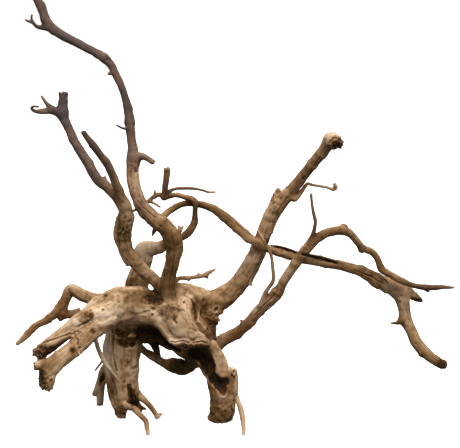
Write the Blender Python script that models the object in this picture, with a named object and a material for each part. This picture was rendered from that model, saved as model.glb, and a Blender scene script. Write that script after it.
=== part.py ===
"""Spiderwood root: a dead, washed root crown with legs, forked stems, long curved roots and twigs.

The wood grew as one piece, so the model is one solid. Every limb is a lofted tube along a smooth
line through its stations. The tubes are fused by a voxel remesh, thinned, and then hollowed where
the wood has rotted out.

A station is (across, up, depth, radius) in millimetres, read off one upright drawing of the root:
across from the foot of the tall stem, up from the tips it stands on, depth away from the viewer.
The drawing looks down on the root a little, so place() follows the sight line through
(across, up) to the upright plane at that depth.
"""

import math
from dataclasses import dataclass

import bmesh
import bpy
import numpy as np

MM = 0.001

# The drawing that the stations are read off.
LOOK_DOWN = math.radians(12.0)
VIEW_DISTANCE = 1400.0
CENTRE_ACROSS = 60.0
CENTRE_UP = 209.0
CENTRE_HEIGHT = 202.0

# How finely limbs are lofted, fused and thinned.
TUBE_SIDES = 14
SPAN_STEPS = 4
FUSE_VOXEL = 0.8
HOLLOW_VOXEL = 1.0
WOOD_TRIANGLES = 10000
HOLLOW_TRIANGLES = 700
SMOOTH_STEPS = 3

# What fusing and thinning take off the side of a tube, added back to its radius.
SIDE_LOSS = 0.3

# The plane that the feet are trimmed to, and the block that trims them.
FLOOR_BLOCK = 900.0

WOOD_COLOUR = (0.42, 0.30, 0.19, 1.0)
WOOD_ROUGHNESS = 0.8

SIGHT = np.array([0.0, math.cos(LOOK_DOWN), -math.sin(LOOK_DOWN)])
SHEET_UP = np.array([0.0, math.sin(LOOK_DOWN), math.cos(LOOK_DOWN)])
SHEET_CENTRE = np.array([CENTRE_ACROSS, 0.0, CENTRE_HEIGHT])
EYE = SHEET_CENTRE - VIEW_DISTANCE * SIGHT


@dataclass(frozen=True)
class Limb:
    """A tube through its stations: flat is its thickness over its width, blunt ends are broken off."""

    stations: tuple
    flat: float = 1.0
    blunt: bool = False


CROWN = {
    "core": Limb(((-34, 113, 16, 14), (-20, 111, 20, 17), (-4, 108, 22, 18), (12, 106, 20, 19), (28, 106, 13, 16))),
    "rear_hump": Limb(((-14, 123, 26, 16), (4, 121, 31, 17), (22, 116, 28, 15))),
    "bridge": Limb(((-30, 129, -8, 15), (-14, 125, -9, 13.5), (2, 122, -8, 13), (14, 124, -2, 14))),
    "front_ridge": Limb(((-2, 128, -10, 9.5), (6, 120, -14, 11.5), (12, 109, -16, 12), (15, 99, -17, 11))),
    "ridge_to_leg": Limb(((8, 116, -10, 12.5), (19, 107, -11, 14), (28, 97, -11, 13))),
    "cape_edge": Limb(((6, 98, -19, 6), (10, 92, -21, 6), (18, 88, -20, 5), (26, 91, -17, 6), (34, 92, -13, 6))),
    "low_right": Limb(((2, 96, 8, 10), (12, 90, 6, 11), (22, 84, 4, 12))),
    "stem_shoulder": Limb(((3, 140, 4, 10), (14, 141.5, 8, 10), (25, 138, 11, 11))),
}

TALL_STEM = {
    "tall_stem": Limb(
        (
            (0, 115, -2, 10), (-2, 129, -9, 8.6), (-2, 143, -12, 7.2), (-2, 156, -14, 7), (2, 171, -16, 7.2),
            (4, 184, -17, 8.4), (2.5, 194, -17, 9), (-5, 206, -15, 8.3), (-18.5, 217.3, -11, 7.4), (-28.3, 229.3, -7, 6.9),
            (-34.4, 240, -3, 6.4), (-37.6, 252, 1, 6.1), (-38.3, 263, 5, 6), (-37.5, 272, 8, 6.3), (-37, 282, 11, 5.3),
            (-38.5, 294, 15, 4.6), (-39.5, 307, 19, 4.6), (-40, 313, 21, 5), (-41.5, 322, 23, 4.5), (-45.5, 338, 28, 3.6),
            (-50.5, 351, 32, 3.8), (-55.5, 361, 36, 3.9), (-60.5, 369.5, 39, 4.8), (-66.5, 374.7, 41, 5.5), (-76.5, 380.7, 44, 4.9),
            (-91.5, 389.2, 47, 4.8), (-107.5, 397.7, 50, 4.9), (-119.5, 404.9, 52, 5.3), (-125.3, 411.5, 53, 5.1),
            (-128.6, 420, 54, 4.4), (-132, 428.6, 55, 4), (-135.5, 437, 56, 3.8), (-138.5, 444, 57, 3.5),
        ),
        blunt=True,
    ),
    "knot_flank": Limb(((-58, 364, 37, 3), (-60, 360, 35, 2.6), (-57, 353, 33, 2)), blunt=True),
    "top_twig": Limb(((-122, 407, 52, 3.6), (-128, 406.5, 52, 2.5), (-133, 407.6, 50, 1.9), (-137.4, 411.5, 48, 1.5), (-140.7, 412.5, 47, 1.3), (-144.5, 414, 46, 1))),
    "top_twiglet": Limb(((-137.4, 412, 48, 1.4), (-138.5, 415.5, 47, 1.1), (-138, 419, 46, 1))),
    "side_twig": Limb(((-40, 306, 18, 2.2), (-43.5, 305.5, 15, 1.5), (-48, 306, 12, 1.2), (-53.5, 308.8, 10, 1))),
    "side_stub": Limb(((-37, 274, 8, 5.4), (-30, 276.5, 6, 3.6), (-25, 276, 4, 2.7), (-16.7, 271, 1, 2.5)), blunt=True),
    "shoulder_twig": Limb(((5, 199, -17, 3), (10, 203.5, -15, 1.7), (8.8, 207.3, -14, 1.1))),
    "shoulder_twiglet": Limb(((10, 203.5, -15, 1.6), (13, 207.5, -14, 1.1))),
}

LEFT_STEM = {
    "left_stem": Limb(
        (
            (-4, 139, -2, 7), (-13.5, 150, -3, 6.5), (-23.5, 160, -5, 6.3), (-34, 170.5, -8, 6.4), (-41, 180.5, -11, 6.4),
            (-43.7, 190.3, -13, 6), (-44.3, 200, -15, 6.3), (-42.8, 209.4, -17, 6.1), (-43.3, 220, -19, 6.8),
            (-46.3, 230, -22, 6.2), (-49.5, 237, -25, 5.2), (-52, 245, -28, 4.5), (-56.3, 257, -33, 4),
            (-61.4, 268.7, -38, 4), (-68.8, 279, -44, 3.9), (-76, 288.5, -49, 3.6), (-82, 296.6, -54, 3),
            (-86.3, 302.9, -57, 2.8),
        ),
        blunt=True,
    ),
    "outer_tine": Limb(
        (
            (-47, 229, -21, 5.4), (-53.5, 235.2, -19, 5.4), (-58, 240.2, -18, 5.4), (-65.4, 247.6, -16, 5.5),
            (-74.4, 254.2, -14, 5.5), (-79.5, 262.5, -12, 4.9), (-84.4, 272.7, -9, 5), (-90.8, 283, -6, 4.9),
            (-96.8, 293.2, -3, 4.7), (-102.3, 305, 0, 4.4), (-106.3, 315, 3, 5.2), (-107.9, 321.5, 4, 6),
            (-107, 331, 5, 5), (-106.6, 341, 6, 5.1),
        ),
        blunt=True,
    ),
    "tine_thorn": Limb(((-67, 251, -15, 3.6), (-65.5, 254.5, -14.5, 2.2), (-65, 257.5, -14, 1.1))),
    "hook_twig": Limb(
        (
            (-108, 321, 4, 5.2), (-115, 322.7, 3, 4), (-121, 322.7, 1, 3.2), (-128, 321.6, -2, 2.5),
            (-135.5, 322, -6, 1.9), (-139.5, 324.7, -8, 1.5), (-137, 327.5, -10, 1.3), (-131.6, 327.4, -12, 1.1),
        )
    ),
    "fork_twig": Limb(((-118.5, 324, 1, 2.6), (-123.8, 330.3, 3, 1.6), (-128.2, 337.6, 6, 1.1))),
    "split_flank": Limb(
        ((-50, 220, -14, 3.8), (-54, 209, -11, 4.2), (-54.5, 198.5, -9, 4.8), (-50, 188, -8, 5), (-46.5, 177, -9, 5.2), (-42, 169.5, -10, 4.2)),
        blunt=True,
    ),
}

REAR_STEM = {
    "rear_stem": Limb(
        (
            (-32, 133, 22, 14), (-33, 148, 26, 12), (-29.5, 163, 31, 9.2), (-25.5, 175, 34, 8.6), (-25, 183, 35, 8.6), (-17.5, 187, 34, 6.6),
            (-10, 188.5, 30, 4.8), (-4, 191, 26, 4.2), (5, 194, 19, 3.8), (13, 197.2, 13, 3.8), (19.5, 202.6, 9, 3.8),
            (23.7, 210, 6, 3.5), (24.8, 217.5, 4, 2.9), (25, 225, 2, 2.8), (25.2, 231.5, 1, 3.1), (22, 235, 2, 2.9),
            (15.6, 236.8, 5, 2.7), (6, 239, 9, 2.5), (0.3, 238, 11, 2.6), (-5.8, 237.6, 13, 2.7), (-11, 239.7, 15, 2.3),
            (-16.5, 237, 16, 2.1), (-22, 232.6, 16, 1.8), (-30, 227, 14, 1.6), (-37, 223, 9, 1.5), (-46, 219, 4, 1.5),
            (-54, 215.6, -2, 1.5),
        ),
        blunt=True,
    ),
    "cut_stub": Limb(((-6, 236.6, 11, 3.1), (-4.8, 245, 9, 3.1), (-3.7, 255, 7, 3.1), (-2.8, 265, 5, 3.2)), blunt=True),
    "long_twig": Limb(((-5, 239, 12, 2.4), (1, 243.7, 13, 1.9), (8, 245.5, 16, 1.7), (21.3, 245.6, 21, 1.6), (31.5, 244, 26, 1.4), (39, 241.8, 30, 1.3), (44.7, 242, 33, 1.3))),
    "up_twig": Limb(((-15.5, 237.5, 15, 1.7), (-15.3, 241, 14, 1.2), (-15, 243.7, 13, 1))),
    "down_twig": Limb(((-21, 233, 16, 1.6), (-15, 230, 13, 1.3), (-10, 227, 10, 1.1))),
}

LONG_ARC = {
    "long_arc": Limb(
        (
            (-17.6, 198.7, 6, 1.1), (-15, 205, 4, 2.4), (-11, 212, 1, 3.2), (-6.5, 218, -1, 3.4), (1, 224, 2, 3.3),
            (11.8, 229.5, 6, 3.1), (21.3, 230.2, 7.5, 3.1), (31.5, 229.2, 8, 3.5), (44.8, 224.2, 6, 3.9),
            (56.5, 215.4, 4, 4.3), (69.7, 203.6, 1, 4.4), (82.9, 193.4, -2, 4.3), (94.6, 186.8, -3, 4.3),
            (106.4, 183, -3, 4.8), (113.7, 181, -2, 5.1), (128.4, 176.9, -1, 5.3), (150.4, 172.4, 1, 5.5),
            (171.5, 168, 5, 5.5), (189, 163.6, 9, 5.8), (202.3, 157, 13, 6.3), (214, 151, 16, 6.8),
            (226, 143.5, 18, 7.3), (231.8, 134.7, 17, 6.3), (234.8, 124, 15, 5.7), (236.6, 112, 12, 5.6),
            (240.6, 102, 8, 5.6), (245.2, 93, 3, 6.1), (252, 83.5, -2, 6.6), (261, 76, -7, 6.2), (270.5, 71, -11, 5.2),
            (274.6, 69.6, -13, 4.6),
        )
    ),
    "arc_spur": Limb(((226, 145.5, 18, 6.4), (235.5, 142.5, 22, 5.4), (243.4, 138, 25, 3.6), (252, 132.4, 28, 1.1))),
    "arc_thorn": Limb(((234, 111, 12, 3.6), (227.2, 111.2, 9, 2.1), (221.4, 110.8, 7, 1.1))),
}

THICK_STEM = {
    "thick_stem": Limb(
        (
            (18, 130, 9, 13), (30, 133, 13, 11.8), (42, 133.5, 16, 11), (52.5, 136, 17, 11), (61, 141.5, 16, 11),
            (69, 150, 15, 10.8), (79, 166, 12, 9.9), (87.5, 185, 9, 8.7), (94, 203.6, 8, 7.7),
            (101.5, 219, 6, 7.5), (110, 231, 4, 7.9), (119, 241, 1, 7.2), (130, 253.5, -3, 6.6),
            (139.3, 265.5, -7, 6.4), (148, 277, -11, 6.2), (155.5, 287, -15, 6.4), (161.3, 293, -19, 8.4),
            (165, 292, -25, 8),
        ),
        blunt=True,
    ),
    "torn_collar": Limb(((96, 210, 8, 5), (101, 224, 8, 5.2), (105.5, 235, 8, 4), (109.4, 243.5, 8, 2.4)), blunt=True),
    "collar_splinter": Limb(((112, 238, 4, 3), (116.8, 246, 3, 1.1))),
    "crook_twig": Limb(
        (
            (125, 238, -1, 4.5), (130.5, 243, 1, 2.5), (137, 249.9, 4, 1.9), (141.6, 249.2, 7, 1.6), (150.4, 247.8, 11, 1.5),
            (157.7, 246.4, 14, 1.5), (163, 244.6, 16, 1.6), (165.6, 246.4, 16, 1.7), (164.6, 249.8, 15, 1.7),
        )
    ),
    "knob_splinter": Limb(((164, 296, -24, 3.5), (170, 297, -25, 1.2))),
    "stem_thorn": Limb(((79, 154, 10, 3), (81.3, 148.7, 7, 1.2))),
    "broken_root": Limb(((30, 128, 16, 11), (36, 119, 14, 11), (39.5, 111, 12, 8.5)), blunt=True),
    "root_thorn": Limb(((40, 117, 8, 6), (49.4, 113.8, 6, 1.4))),
    "root_stub": Limb(((38, 112, 15, 6), (42, 103, 15, 4.2), (43.5, 95, 16, 3.2)), blunt=True),
}

RIGHT_ROOT = {
    "right_root": Limb(
        (
            (28, 84, 22, 8), (42, 87, 23, 6.9), (53.6, 94.6, 20, 6.2), (66.8, 102, 15, 6.3), (77, 111, 10, 6.4),
            (87.3, 122.5, 5, 5.9), (97.6, 132.7, 0, 5.8), (106.8, 142, -4, 6.4), (111.8, 151, -7, 5),
            (121, 165.5, -11, 4.9), (128.4, 175.8, -13.5, 5.4), (136.5, 186.5, -15, 5.4), (144, 195, -15, 5.1),
            (153.9, 201, -14, 4.9), (165.6, 204.4, -12, 4.6), (173, 204.6, -10, 5), (180.3, 200, -6, 4.3),
            (186.2, 192, -2, 4.1), (192, 184.8, 2, 3.9), (199.4, 182.2, 4, 3.4), (205.2, 176.5, 5, 3.3),
            (209.6, 168.4, 4, 3.2), (214, 162.8, 3, 3.1), (222.8, 158.2, 2, 3), (233, 152.3, 1, 2.7), (241.9, 148, 0, 2.6),
            (252.2, 146, -3, 2.3), (263.9, 145.4, -6, 2.3), (272.7, 146.4, -8, 1.9), (283.7, 145.2, -11, 1.1),
        )
    ),
    "upright_twig": Limb(((141, 193, -15, 3), (143.8, 202, -18, 2), (145.2, 210, -21, 1.8), (145.3, 213.5, -22, 1.9), (142.9, 224.2, -26, 1.6), (141, 239.6, -31, 1.4))),
    "crossing_twig": Limb(((91, 129, -1, 3.6), (96.7, 143.5, -5, 2.1), (103.3, 153.8, -8, 2), (102.6, 167, -11, 1.7), (101, 178.7, -13, 1.6), (95.2, 190.4, -14, 1.4), (87.9, 203.6, -12, 1.1))),
    "low_nub": Limb(((74, 108, 10, 3), (71, 113.5, 8, 1.4))),
    "crest_nub": Limb(((173, 204, -10, 3.6), (174.5, 209, -10, 2.8)), blunt=True),
    "under_nub": Limb(((191, 185, 2, 3), (190.5, 180.5, 2, 1.8)), blunt=True),
    "back_twig": Limb(((0, 148, 8, 4), (8, 155.2, 17, 2.4), (19, 156.2, 22, 2.1), (33, 158.2, 28, 2), (38.5, 161.3, 31, 2.3), (45, 164.6, 34, 1.1))),
}

LEFT_ROOTS = {
    "bent_root": Limb(
        (
            (-56, 128, 8, 10), (-68, 133, 18, 7.4), (-76, 134, 24, 6.6), (-88, 138.2, 31, 6.2), (-97, 143.6, 36, 5.9),
            (-101, 144, 37, 5.4), (-105, 136, 35, 4.9), (-108.7, 127, 31, 4.9), (-105.5, 119.5, 30, 4.3), (-98, 118.7, 33, 3.5),
            (-90, 121.5, 38, 2.8),
        ),
        blunt=True,
    ),
    "bent_root_tip": Limb(((-108, 128, 31, 4.6), (-116, 120, 26, 4.2), (-124, 113.5, 22, 3.9), (-132, 109.5, 17, 3.3), (-139.5, 103, 12, 2.9), (-146.5, 95.3, 6, 2.6), (-152.8, 90, 2, 1.5))),
    "slab": Limb(((-12, 124, 0, 13), (-24, 127, -5, 17), (-38, 129, -10, 18), (-52, 129.5, -16, 17.5), (-64, 124.5, -24, 16), (-75, 117, -31, 13)), flat=0.72),
    "slab_upper_fork": Limb(((-72, 120, -29, 11.5), (-85, 114.5, -35, 9), (-98, 106, -40, 8.3), (-111, 95.5, -44, 7.2), (-123, 87.8, -47, 6.9), (-132.5, 81.5, -49, 5.6)), flat=0.8, blunt=True),
    "slab_lower_fork": Limb(
        ((-66, 112, -30, 12.5), (-79, 100, -42, 10), (-91, 89, -52, 9), (-104, 78.5, -61, 8.8), (-115, 70, -68, 8.6), (-121, 61, -73, 8.2), (-123.3, 51, -76, 7.8), (-123.3, 44.5, -77, 6.4)),
        flat=0.85,
        blunt=True,
    ),
    "fork_spur": Limb(((-118, 67, -70, 5.6), (-127, 67.5, -71, 4.6), (-136.5, 69, -72, 2.6)), blunt=True),
}

CENTRE_LEG = {
    "centre_leg": Limb(((-44, 118, 2, 15), (-47, 103, 4, 17), (-48, 83, 5, 18), (-48, 60, 4, 15.3), (-46, 44, 2, 13.6), (-47.5, 33, 0, 9.5), (-49.5, 23, -2, 5.8), (-49, 15, -3, 4)), flat=0.62, blunt=True),
    "leg_rib": Limb(((-60, 108, -3, 3.8), (-62, 91, 0, 3.8), (-63, 78, 1, 3.6), (-60.5, 63, 1, 3.2), (-57, 48, 0, 2.6))),
    "leg_lobe": Limb(((-37, 64, 6, 6), (-37, 48, 6, 6), (-35, 37, 6, 4.6))),
    "rear_rootlet": Limb(((-38, 42, 10, 5.5), (-35, 33, 13, 4.2), (-32, 27, 13, 3), (-29.5, 23.5, 12, 1.8))),
    "rear_rootlet_twig": Limb(((-33, 29, 13, 2.4), (-29, 27, 14, 1.8), (-24.7, 25, 14, 1.2))),
    "front_twig": Limb(((-49, 33, -2, 4.5), (-44, 27.5, -10, 3.3), (-36.6, 25, -18, 2.9), (-30, 19, -28, 2.7), (-24.5, 13.4, -37, 2.6), (-23.6, 7, -44, 2.4), (-22.6, 0, -51, 2.3), (-22.3, -4, -54, 2.2)), blunt=True),
    "side_rootlet": Limb(((-33, 40, 6, 4), (-25.8, 33.8, 1, 2.8), (-20.4, 28.5, -3, 2.5), (-15, 21.2, -7, 2.4), (-12.2, 16.5, -10, 2.3)), blunt=True),
    "side_rootlet_twig": Limb(((-12.6, 17.6, -9, 1.6), (-8.2, 20.6, -9, 1.2))),
    "rear_prop": Limb(((-58, 74, 8, 6), (-65, 62, 14, 5.2), (-67.5, 53, 18, 4.5), (-69, 41, 22, 3.8), (-70.2, 30, 25, 3.2)), blunt=True),
    "rear_prop_tine": Limb(((-65, 61, 14, 4.6), (-70, 52, 19, 3.6), (-73.5, 44, 23, 2.9), (-75.2, 40, 26, 2.1)), blunt=True),
    "hidden_leg": Limb(((-34, 112, 26, 12), (-38, 97, 42, 9.8), (-46, 84, 52, 8.2), (-45, 70, 62, 7.8), (-51, 57, 71, 6.8), (-47, 46, 80, 6.2), (-49, 38, 85, 5.4)), blunt=True),
    "strut_twig": Limb(((-75.7, 99, -36, 3), (-71.3, 83, -26, 2.3), (-64.8, 70, -20, 2.3), (-58.3, 61, -14, 2.1), (-53, 54.4, -8, 1.5))),
    "strut_twiglet": Limb(((-66.5, 74, -21, 1.6), (-69.5, 70.5, -19, 1.2), (-74.6, 63.8, -14, 1))),
}

RIGHT_LEG = {
    "right_leg": Limb(((13, 108, -3, 15), (22, 97, -4, 14.5), (32, 84, -5, 13.5), (41, 71, -6, 12.8), (48.5, 58, -7, 13), (52, 47, -8, 13.2), (52.9, 32, -8, 12.9), (52.8, 20, -8, 12.7), (51, 6, -8, 12.4)), blunt=True),
    "spike": Limb(((62, 43, -6, 4), (67, 35, -12, 2.7), (70.2, 25, -22, 2.7), (73, 14.5, -35, 2.5), (74, 6, -45, 2.2), (73.8, -1, -52, 2.1), (73.6, -4, -54, 2)), blunt=True),
    "edge_knot": Limb(((58, 60, -9, 5), (64, 63, -10, 3.2)), blunt=True),
    "hidden_root": Limb(((18, 108, 30, 13), (29, 94, 42, 10.4), (39, 80, 50, 8.6), (42, 66, 61, 7.6), (50, 54, 68, 7.2), (50, 44, 77, 6.4), (54, 34, 82, 5.6)), blunt=True),
    "arch_root": Limb(((-36, 91, 16, 4.4), (-25, 82.5, 24, 3.6), (-18, 77.5, 27, 4), (-6.3, 71, 29, 4.5), (4.6, 66, 27, 5.1), (14, 64.5, 21, 5.5), (22, 68, 14, 6.2), (29, 76, 6, 8))),
    "arch_root_crust": Limb(((0, 71, 26, 4.7), (10, 70, 20, 5.2))),
    "arch_tooth": Limb(((-18, 93, 12, 4.6), (-14, 85, 11, 3.4), (-11.2, 78.7, 10, 1.9))),
}

HOLLOWS = {
    "under_crown": Limb(((-32, 103, -14, 6), (-22, 101, -12, 9), (-10, 99, -10, 10), (0, 97, -8, 9), (6, 90, -8, 6))),
    "leg_hollow": Limb(((24, 84, -19, 6), (32, 77, -20.5, 7.5), (39.5, 67, -21, 7.5), (45.5, 58, -21, 7), (50.5, 49, -21, 5.8), (52, 41, -20, 3.6))),
    "stem_pit": Limb(((-21, 139, -21, 6), (-16.5, 137, -17, 7), (-12, 134, -17, 5))),
    "leg_recess": Limb(((-57, 103, -10, 4), (-50, 100, -9, 5.5), (-43, 96, -8, 5.5), (-38, 90, -6, 4))),
    "leg_groove": Limb(((-40, 54, -9, 1.6), (-39.5, 44, -8, 2.6), (-39.5, 34, -7, 3.4), (-40, 24, -6, 4))),
    "arc_slot": Limb(((98, 189.5, -6, 0.9), (112, 185, -7, 2), (130, 180.5, -6.5, 2.2), (150, 175, -4.5, 2), (166, 170.8, -1, 0.8))),
}


def place(across, up, depth):
    """The point at this depth on the sight line through (across, up) of the drawing, in millimetres."""
    ray = VIEW_DISTANCE * SIGHT + np.array([across - CENTRE_ACROSS, 0.0, 0.0]) + (up - CENTRE_UP) * SHEET_UP
    reach = (depth - EYE[1]) / ray[1]
    return EYE + reach * ray, reach


def smooth_line(stations):
    """Points and radii along a Catmull-Rom line through a limb's stations."""
    knots = []
    for across, up, depth, radius in stations:
        point, reach = place(across, up, depth)
        knots.append([*point, radius * reach + SIDE_LOSS])
    knots = np.array(knots)
    padded = np.vstack([2 * knots[0] - knots[1], knots, 2 * knots[-1] - knots[-2]])
    line = []
    for i in range(len(knots) - 1):
        before, start, end, after = padded[i : i + 4]
        for t in np.arange(SPAN_STEPS) / SPAN_STEPS:
            bend = 2 * before - 5 * start + 4 * end - after
            twist = 3 * start - before - 3 * end + after
            line.append(start + 0.5 * t * (end - before + t * (bend + t * twist)))
    line.append(knots[-1])
    line = np.array(line)
    slimmest = knots[:, 3].min() * 0.9
    return line[:, :3], np.maximum(line[:, 3], slimmest)


def section_axes(points):
    """At each point of a line: its direction, its width axis across the view, and its thickness axis."""
    along = np.gradient(points, axis=0)
    along /= np.linalg.norm(along, axis=1)[:, None]
    widths, depths = [], []
    last = SIGHT
    for direction in along:
        away = SIGHT - (SIGHT @ direction) * direction
        if np.linalg.norm(away) < 0.35:
            away = last - (last @ direction) * direction
        last = away / np.linalg.norm(away)
        depths.append(last)
        widths.append(np.cross(direction, last))
    return along, np.array(widths), np.array(depths)


def add_tube(mesh, limb):
    """Lofts one limb into the mesh as a closed tube, domed at its ends unless they are broken off."""
    points, radii = smooth_line(limb.stations)
    along, widths, depths = section_axes(points)
    rings = [(p, r, w, d) for p, r, w, d in zip(points, radii, widths, depths)]
    end_dome = ((0.5, 0.87), (0.85, 0.5)) if not limb.blunt else ((0.22, 0.8),)
    first, last = rings[0], rings[-1]
    for reach, share in end_dome:
        rings.append((last[0] + along[-1] * reach * last[1], last[1] * share, last[2], last[3]))
    for reach, share in ((0.5, 0.87), (0.85, 0.5)):
        rings.insert(0, (first[0] - along[0] * reach * first[1], first[1] * share, first[2], first[3]))
    angles = np.linspace(0, 2 * math.pi, TUBE_SIDES, endpoint=False)
    loops = []
    for centre, radius, width, depth in rings:
        ring = centre + radius * (np.cos(angles)[:, None] * width + limb.flat * np.sin(angles)[:, None] * depth)
        loops.append([mesh.verts.new(p * MM) for p in ring])
    for lower, upper in zip(loops, loops[1:]):
        for i in range(TUBE_SIDES):
            j = (i + 1) % TUBE_SIDES
            mesh.faces.new((lower[i], lower[j], upper[j], upper[i]))
    mesh.faces.new(list(reversed(loops[0])))
    mesh.faces.new(loops[-1])


def tube_object(name, *groups):
    """An object that holds the tubes of these groups of limbs, each still its own closed shell."""
    mesh = bmesh.new()
    for group in groups:
        for limb in group.values():
            add_tube(mesh, limb)
    bmesh.ops.recalc_face_normals(mesh, faces=mesh.faces)
    data = bpy.data.meshes.new(name)
    mesh.to_mesh(data)
    mesh.free()
    obj = bpy.data.objects.new(name, data)
    bpy.context.scene.collection.objects.link(obj)
    return obj


def settle(obj):
    """Applies the object's modifiers to its mesh."""
    graph = bpy.context.evaluated_depsgraph_get()
    data = bpy.data.meshes.new_from_object(obj.evaluated_get(graph))
    obj.modifiers.clear()
    obj.data = data


def fuse(obj, voxel, smoothing):
    """Fuses overlapping tubes into one skin of even cells, and eases its creases."""
    remesh = obj.modifiers.new("fuse", "REMESH")
    remesh.mode = "VOXEL"
    remesh.voxel_size = voxel * MM
    remesh.adaptivity = 0.0
    if smoothing:
        ease = obj.modifiers.new("ease", "SMOOTH")
        ease.factor = 0.5
        ease.iterations = smoothing
    settle(obj)


def thin(obj, triangles):
    """Collapses edges until the skin has about this many triangles."""
    obj.data.calc_loop_triangles()
    collapse = obj.modifiers.new("thin", "DECIMATE")
    collapse.ratio = triangles / len(obj.data.loop_triangles)
    collapse.use_collapse_triangulate = True
    settle(obj)


def hide(obj):
    """Marks a cutter, which isn't part of the model."""
    obj.hide_render = True
    obj.display_type = "WIRE"


def cut(obj, cutter, name):
    """Takes the cutter's volume away from the object."""
    boolean = obj.modifiers.new(name, "BOOLEAN")
    boolean.operation = "DIFFERENCE"
    boolean.solver = "EXACT"
    boolean.object = cutter


def floor_block():
    """A block whose top is the floor, to trim the feet flat."""
    mesh = bmesh.new()
    bmesh.ops.create_cube(mesh, size=FLOOR_BLOCK * MM)
    bmesh.ops.translate(mesh, verts=mesh.verts, vec=(0.0, 0.0, -FLOOR_BLOCK * MM / 2))
    data = bpy.data.meshes.new("floor_block")
    mesh.to_mesh(data)
    mesh.free()
    block = bpy.data.objects.new("floor_block", data)
    bpy.context.scene.collection.objects.link(block)
    return block


def box_middle(obj):
    """The middle of the object's outer box, seen from above."""
    corners = np.array([corner[:] for corner in obj.bound_box])
    return (corners.min(axis=0)[:2] + corners.max(axis=0)[:2]) / 2


def wood_material():
    """The plain washed-wood finish."""
    material = bpy.data.materials.new("washed_wood")
    material.use_nodes = True
    shader = material.node_tree.nodes["Principled BSDF"]
    shader.inputs["Base Color"].default_value = WOOD_COLOUR
    shader.inputs["Roughness"].default_value = WOOD_ROUGHNESS
    shader.inputs["Metallic"].default_value = 0.0
    return material


def main():
    """Builds the root and its cutters."""
    for obj in list(bpy.data.objects):
        bpy.data.objects.remove(obj, do_unlink=True)

    root = tube_object(
        "spiderwood_root", CROWN, TALL_STEM, LEFT_STEM, REAR_STEM, LONG_ARC, THICK_STEM, RIGHT_ROOT, LEFT_ROOTS, CENTRE_LEG, RIGHT_LEG
    )
    fuse(root, FUSE_VOXEL, SMOOTH_STEPS)
    thin(root, WOOD_TRIANGLES)

    hollows = tube_object("hollows", HOLLOWS)
    fuse(hollows, HOLLOW_VOXEL, 0)
    thin(hollows, HOLLOW_TRIANGLES)
    hide(hollows)
    cut(root, hollows, "rot_out")

    block = floor_block()
    hide(block)
    cut(root, block, "trim_feet")
    settle(root)

    root.data.materials.clear()
    root.data.materials.append(wood_material())
    shift = box_middle(root)
    print("drawing origin lies at", [round(-1000 * value, 2) for value in shift], "mm")
    for obj in (root, hollows, block):
        obj.location = (-shift[0], -shift[1], 0.0)


main()
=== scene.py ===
"""Looks of the spiderwood root: one finely carved skin of washed wood, and loose fibres, in a plain studio.

The skin follows the same limbs as the solid part. It is fused from tubes, drawn onto a smooth field
that fillets the joints, and then carved with grain, knots, pits, cracks and torn ends. Each point
keeps its place along and across its limb, so that the wood's grain runs with the limb in the
material too.
"""

import logging
import math
from dataclasses import dataclass, field
from enum import Enum

import bmesh
import bpy
import numpy as np
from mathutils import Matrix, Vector
from mathutils.bvhtree import BVHTree


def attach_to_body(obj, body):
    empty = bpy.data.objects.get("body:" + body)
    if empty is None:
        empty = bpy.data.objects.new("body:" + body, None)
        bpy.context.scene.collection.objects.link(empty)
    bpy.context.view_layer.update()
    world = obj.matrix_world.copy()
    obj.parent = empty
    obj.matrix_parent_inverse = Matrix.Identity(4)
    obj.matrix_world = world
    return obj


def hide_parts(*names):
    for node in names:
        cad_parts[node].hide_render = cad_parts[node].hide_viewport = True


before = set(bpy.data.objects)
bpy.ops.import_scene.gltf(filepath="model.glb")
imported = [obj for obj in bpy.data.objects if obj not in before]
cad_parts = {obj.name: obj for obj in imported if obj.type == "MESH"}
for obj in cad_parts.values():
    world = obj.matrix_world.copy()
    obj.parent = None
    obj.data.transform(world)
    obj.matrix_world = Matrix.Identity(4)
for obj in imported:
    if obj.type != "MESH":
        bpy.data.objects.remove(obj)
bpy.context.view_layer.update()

MM = 0.001
NODE = "spiderwood_root"
BODY = "root"

# The upright drawing that every station is read off, as in the part's source, in millimetres.
LOOK_DOWN = math.radians(12.0)
VIEW_DISTANCE = 1400.0
CENTRE_ACROSS = 60.0
CENTRE_UP = 209.0
CENTRE_HEIGHT = 202.0
SIGHT = np.array([0.0, math.cos(LOOK_DOWN), -math.sin(LOOK_DOWN)])
SHEET_UP = np.array([0.0, math.sin(LOOK_DOWN), math.cos(LOOK_DOWN)])
SHEET_CENTRE = np.array([CENTRE_ACROSS, 0.0, CENTRE_HEIGHT])
EYE = SHEET_CENTRE - VIEW_DISTANCE * SIGHT

# A depth behind the whole root, where every sight line ends.
BACKDROP = 400.0

# The middle of the solid's outer box in that drawing, which is the part's origin.
PART_ORIGIN = np.array([63.23, 3.17, 0.0])

# The photograph: its size in pixels, and the pixel of the drawing's zero point. A pixel is a millimetre.
PHOTO_WIDTH = 460.0
PHOTO_HEIGHT = 448.0
ZERO_PIXEL_X = 170.0
ZERO_PIXEL_Y = 434.0


@dataclass(frozen=True)
class Limb:
    """A tube through (across, up, depth, radius) stations in millimetres.

    flat is its thickness over its width, blunt ends are broken off, and tone shifts it paler or darker.
    """

    stations: tuple
    flat: float = 1.0
    blunt: bool = False
    tone: float = 0.0


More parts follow.
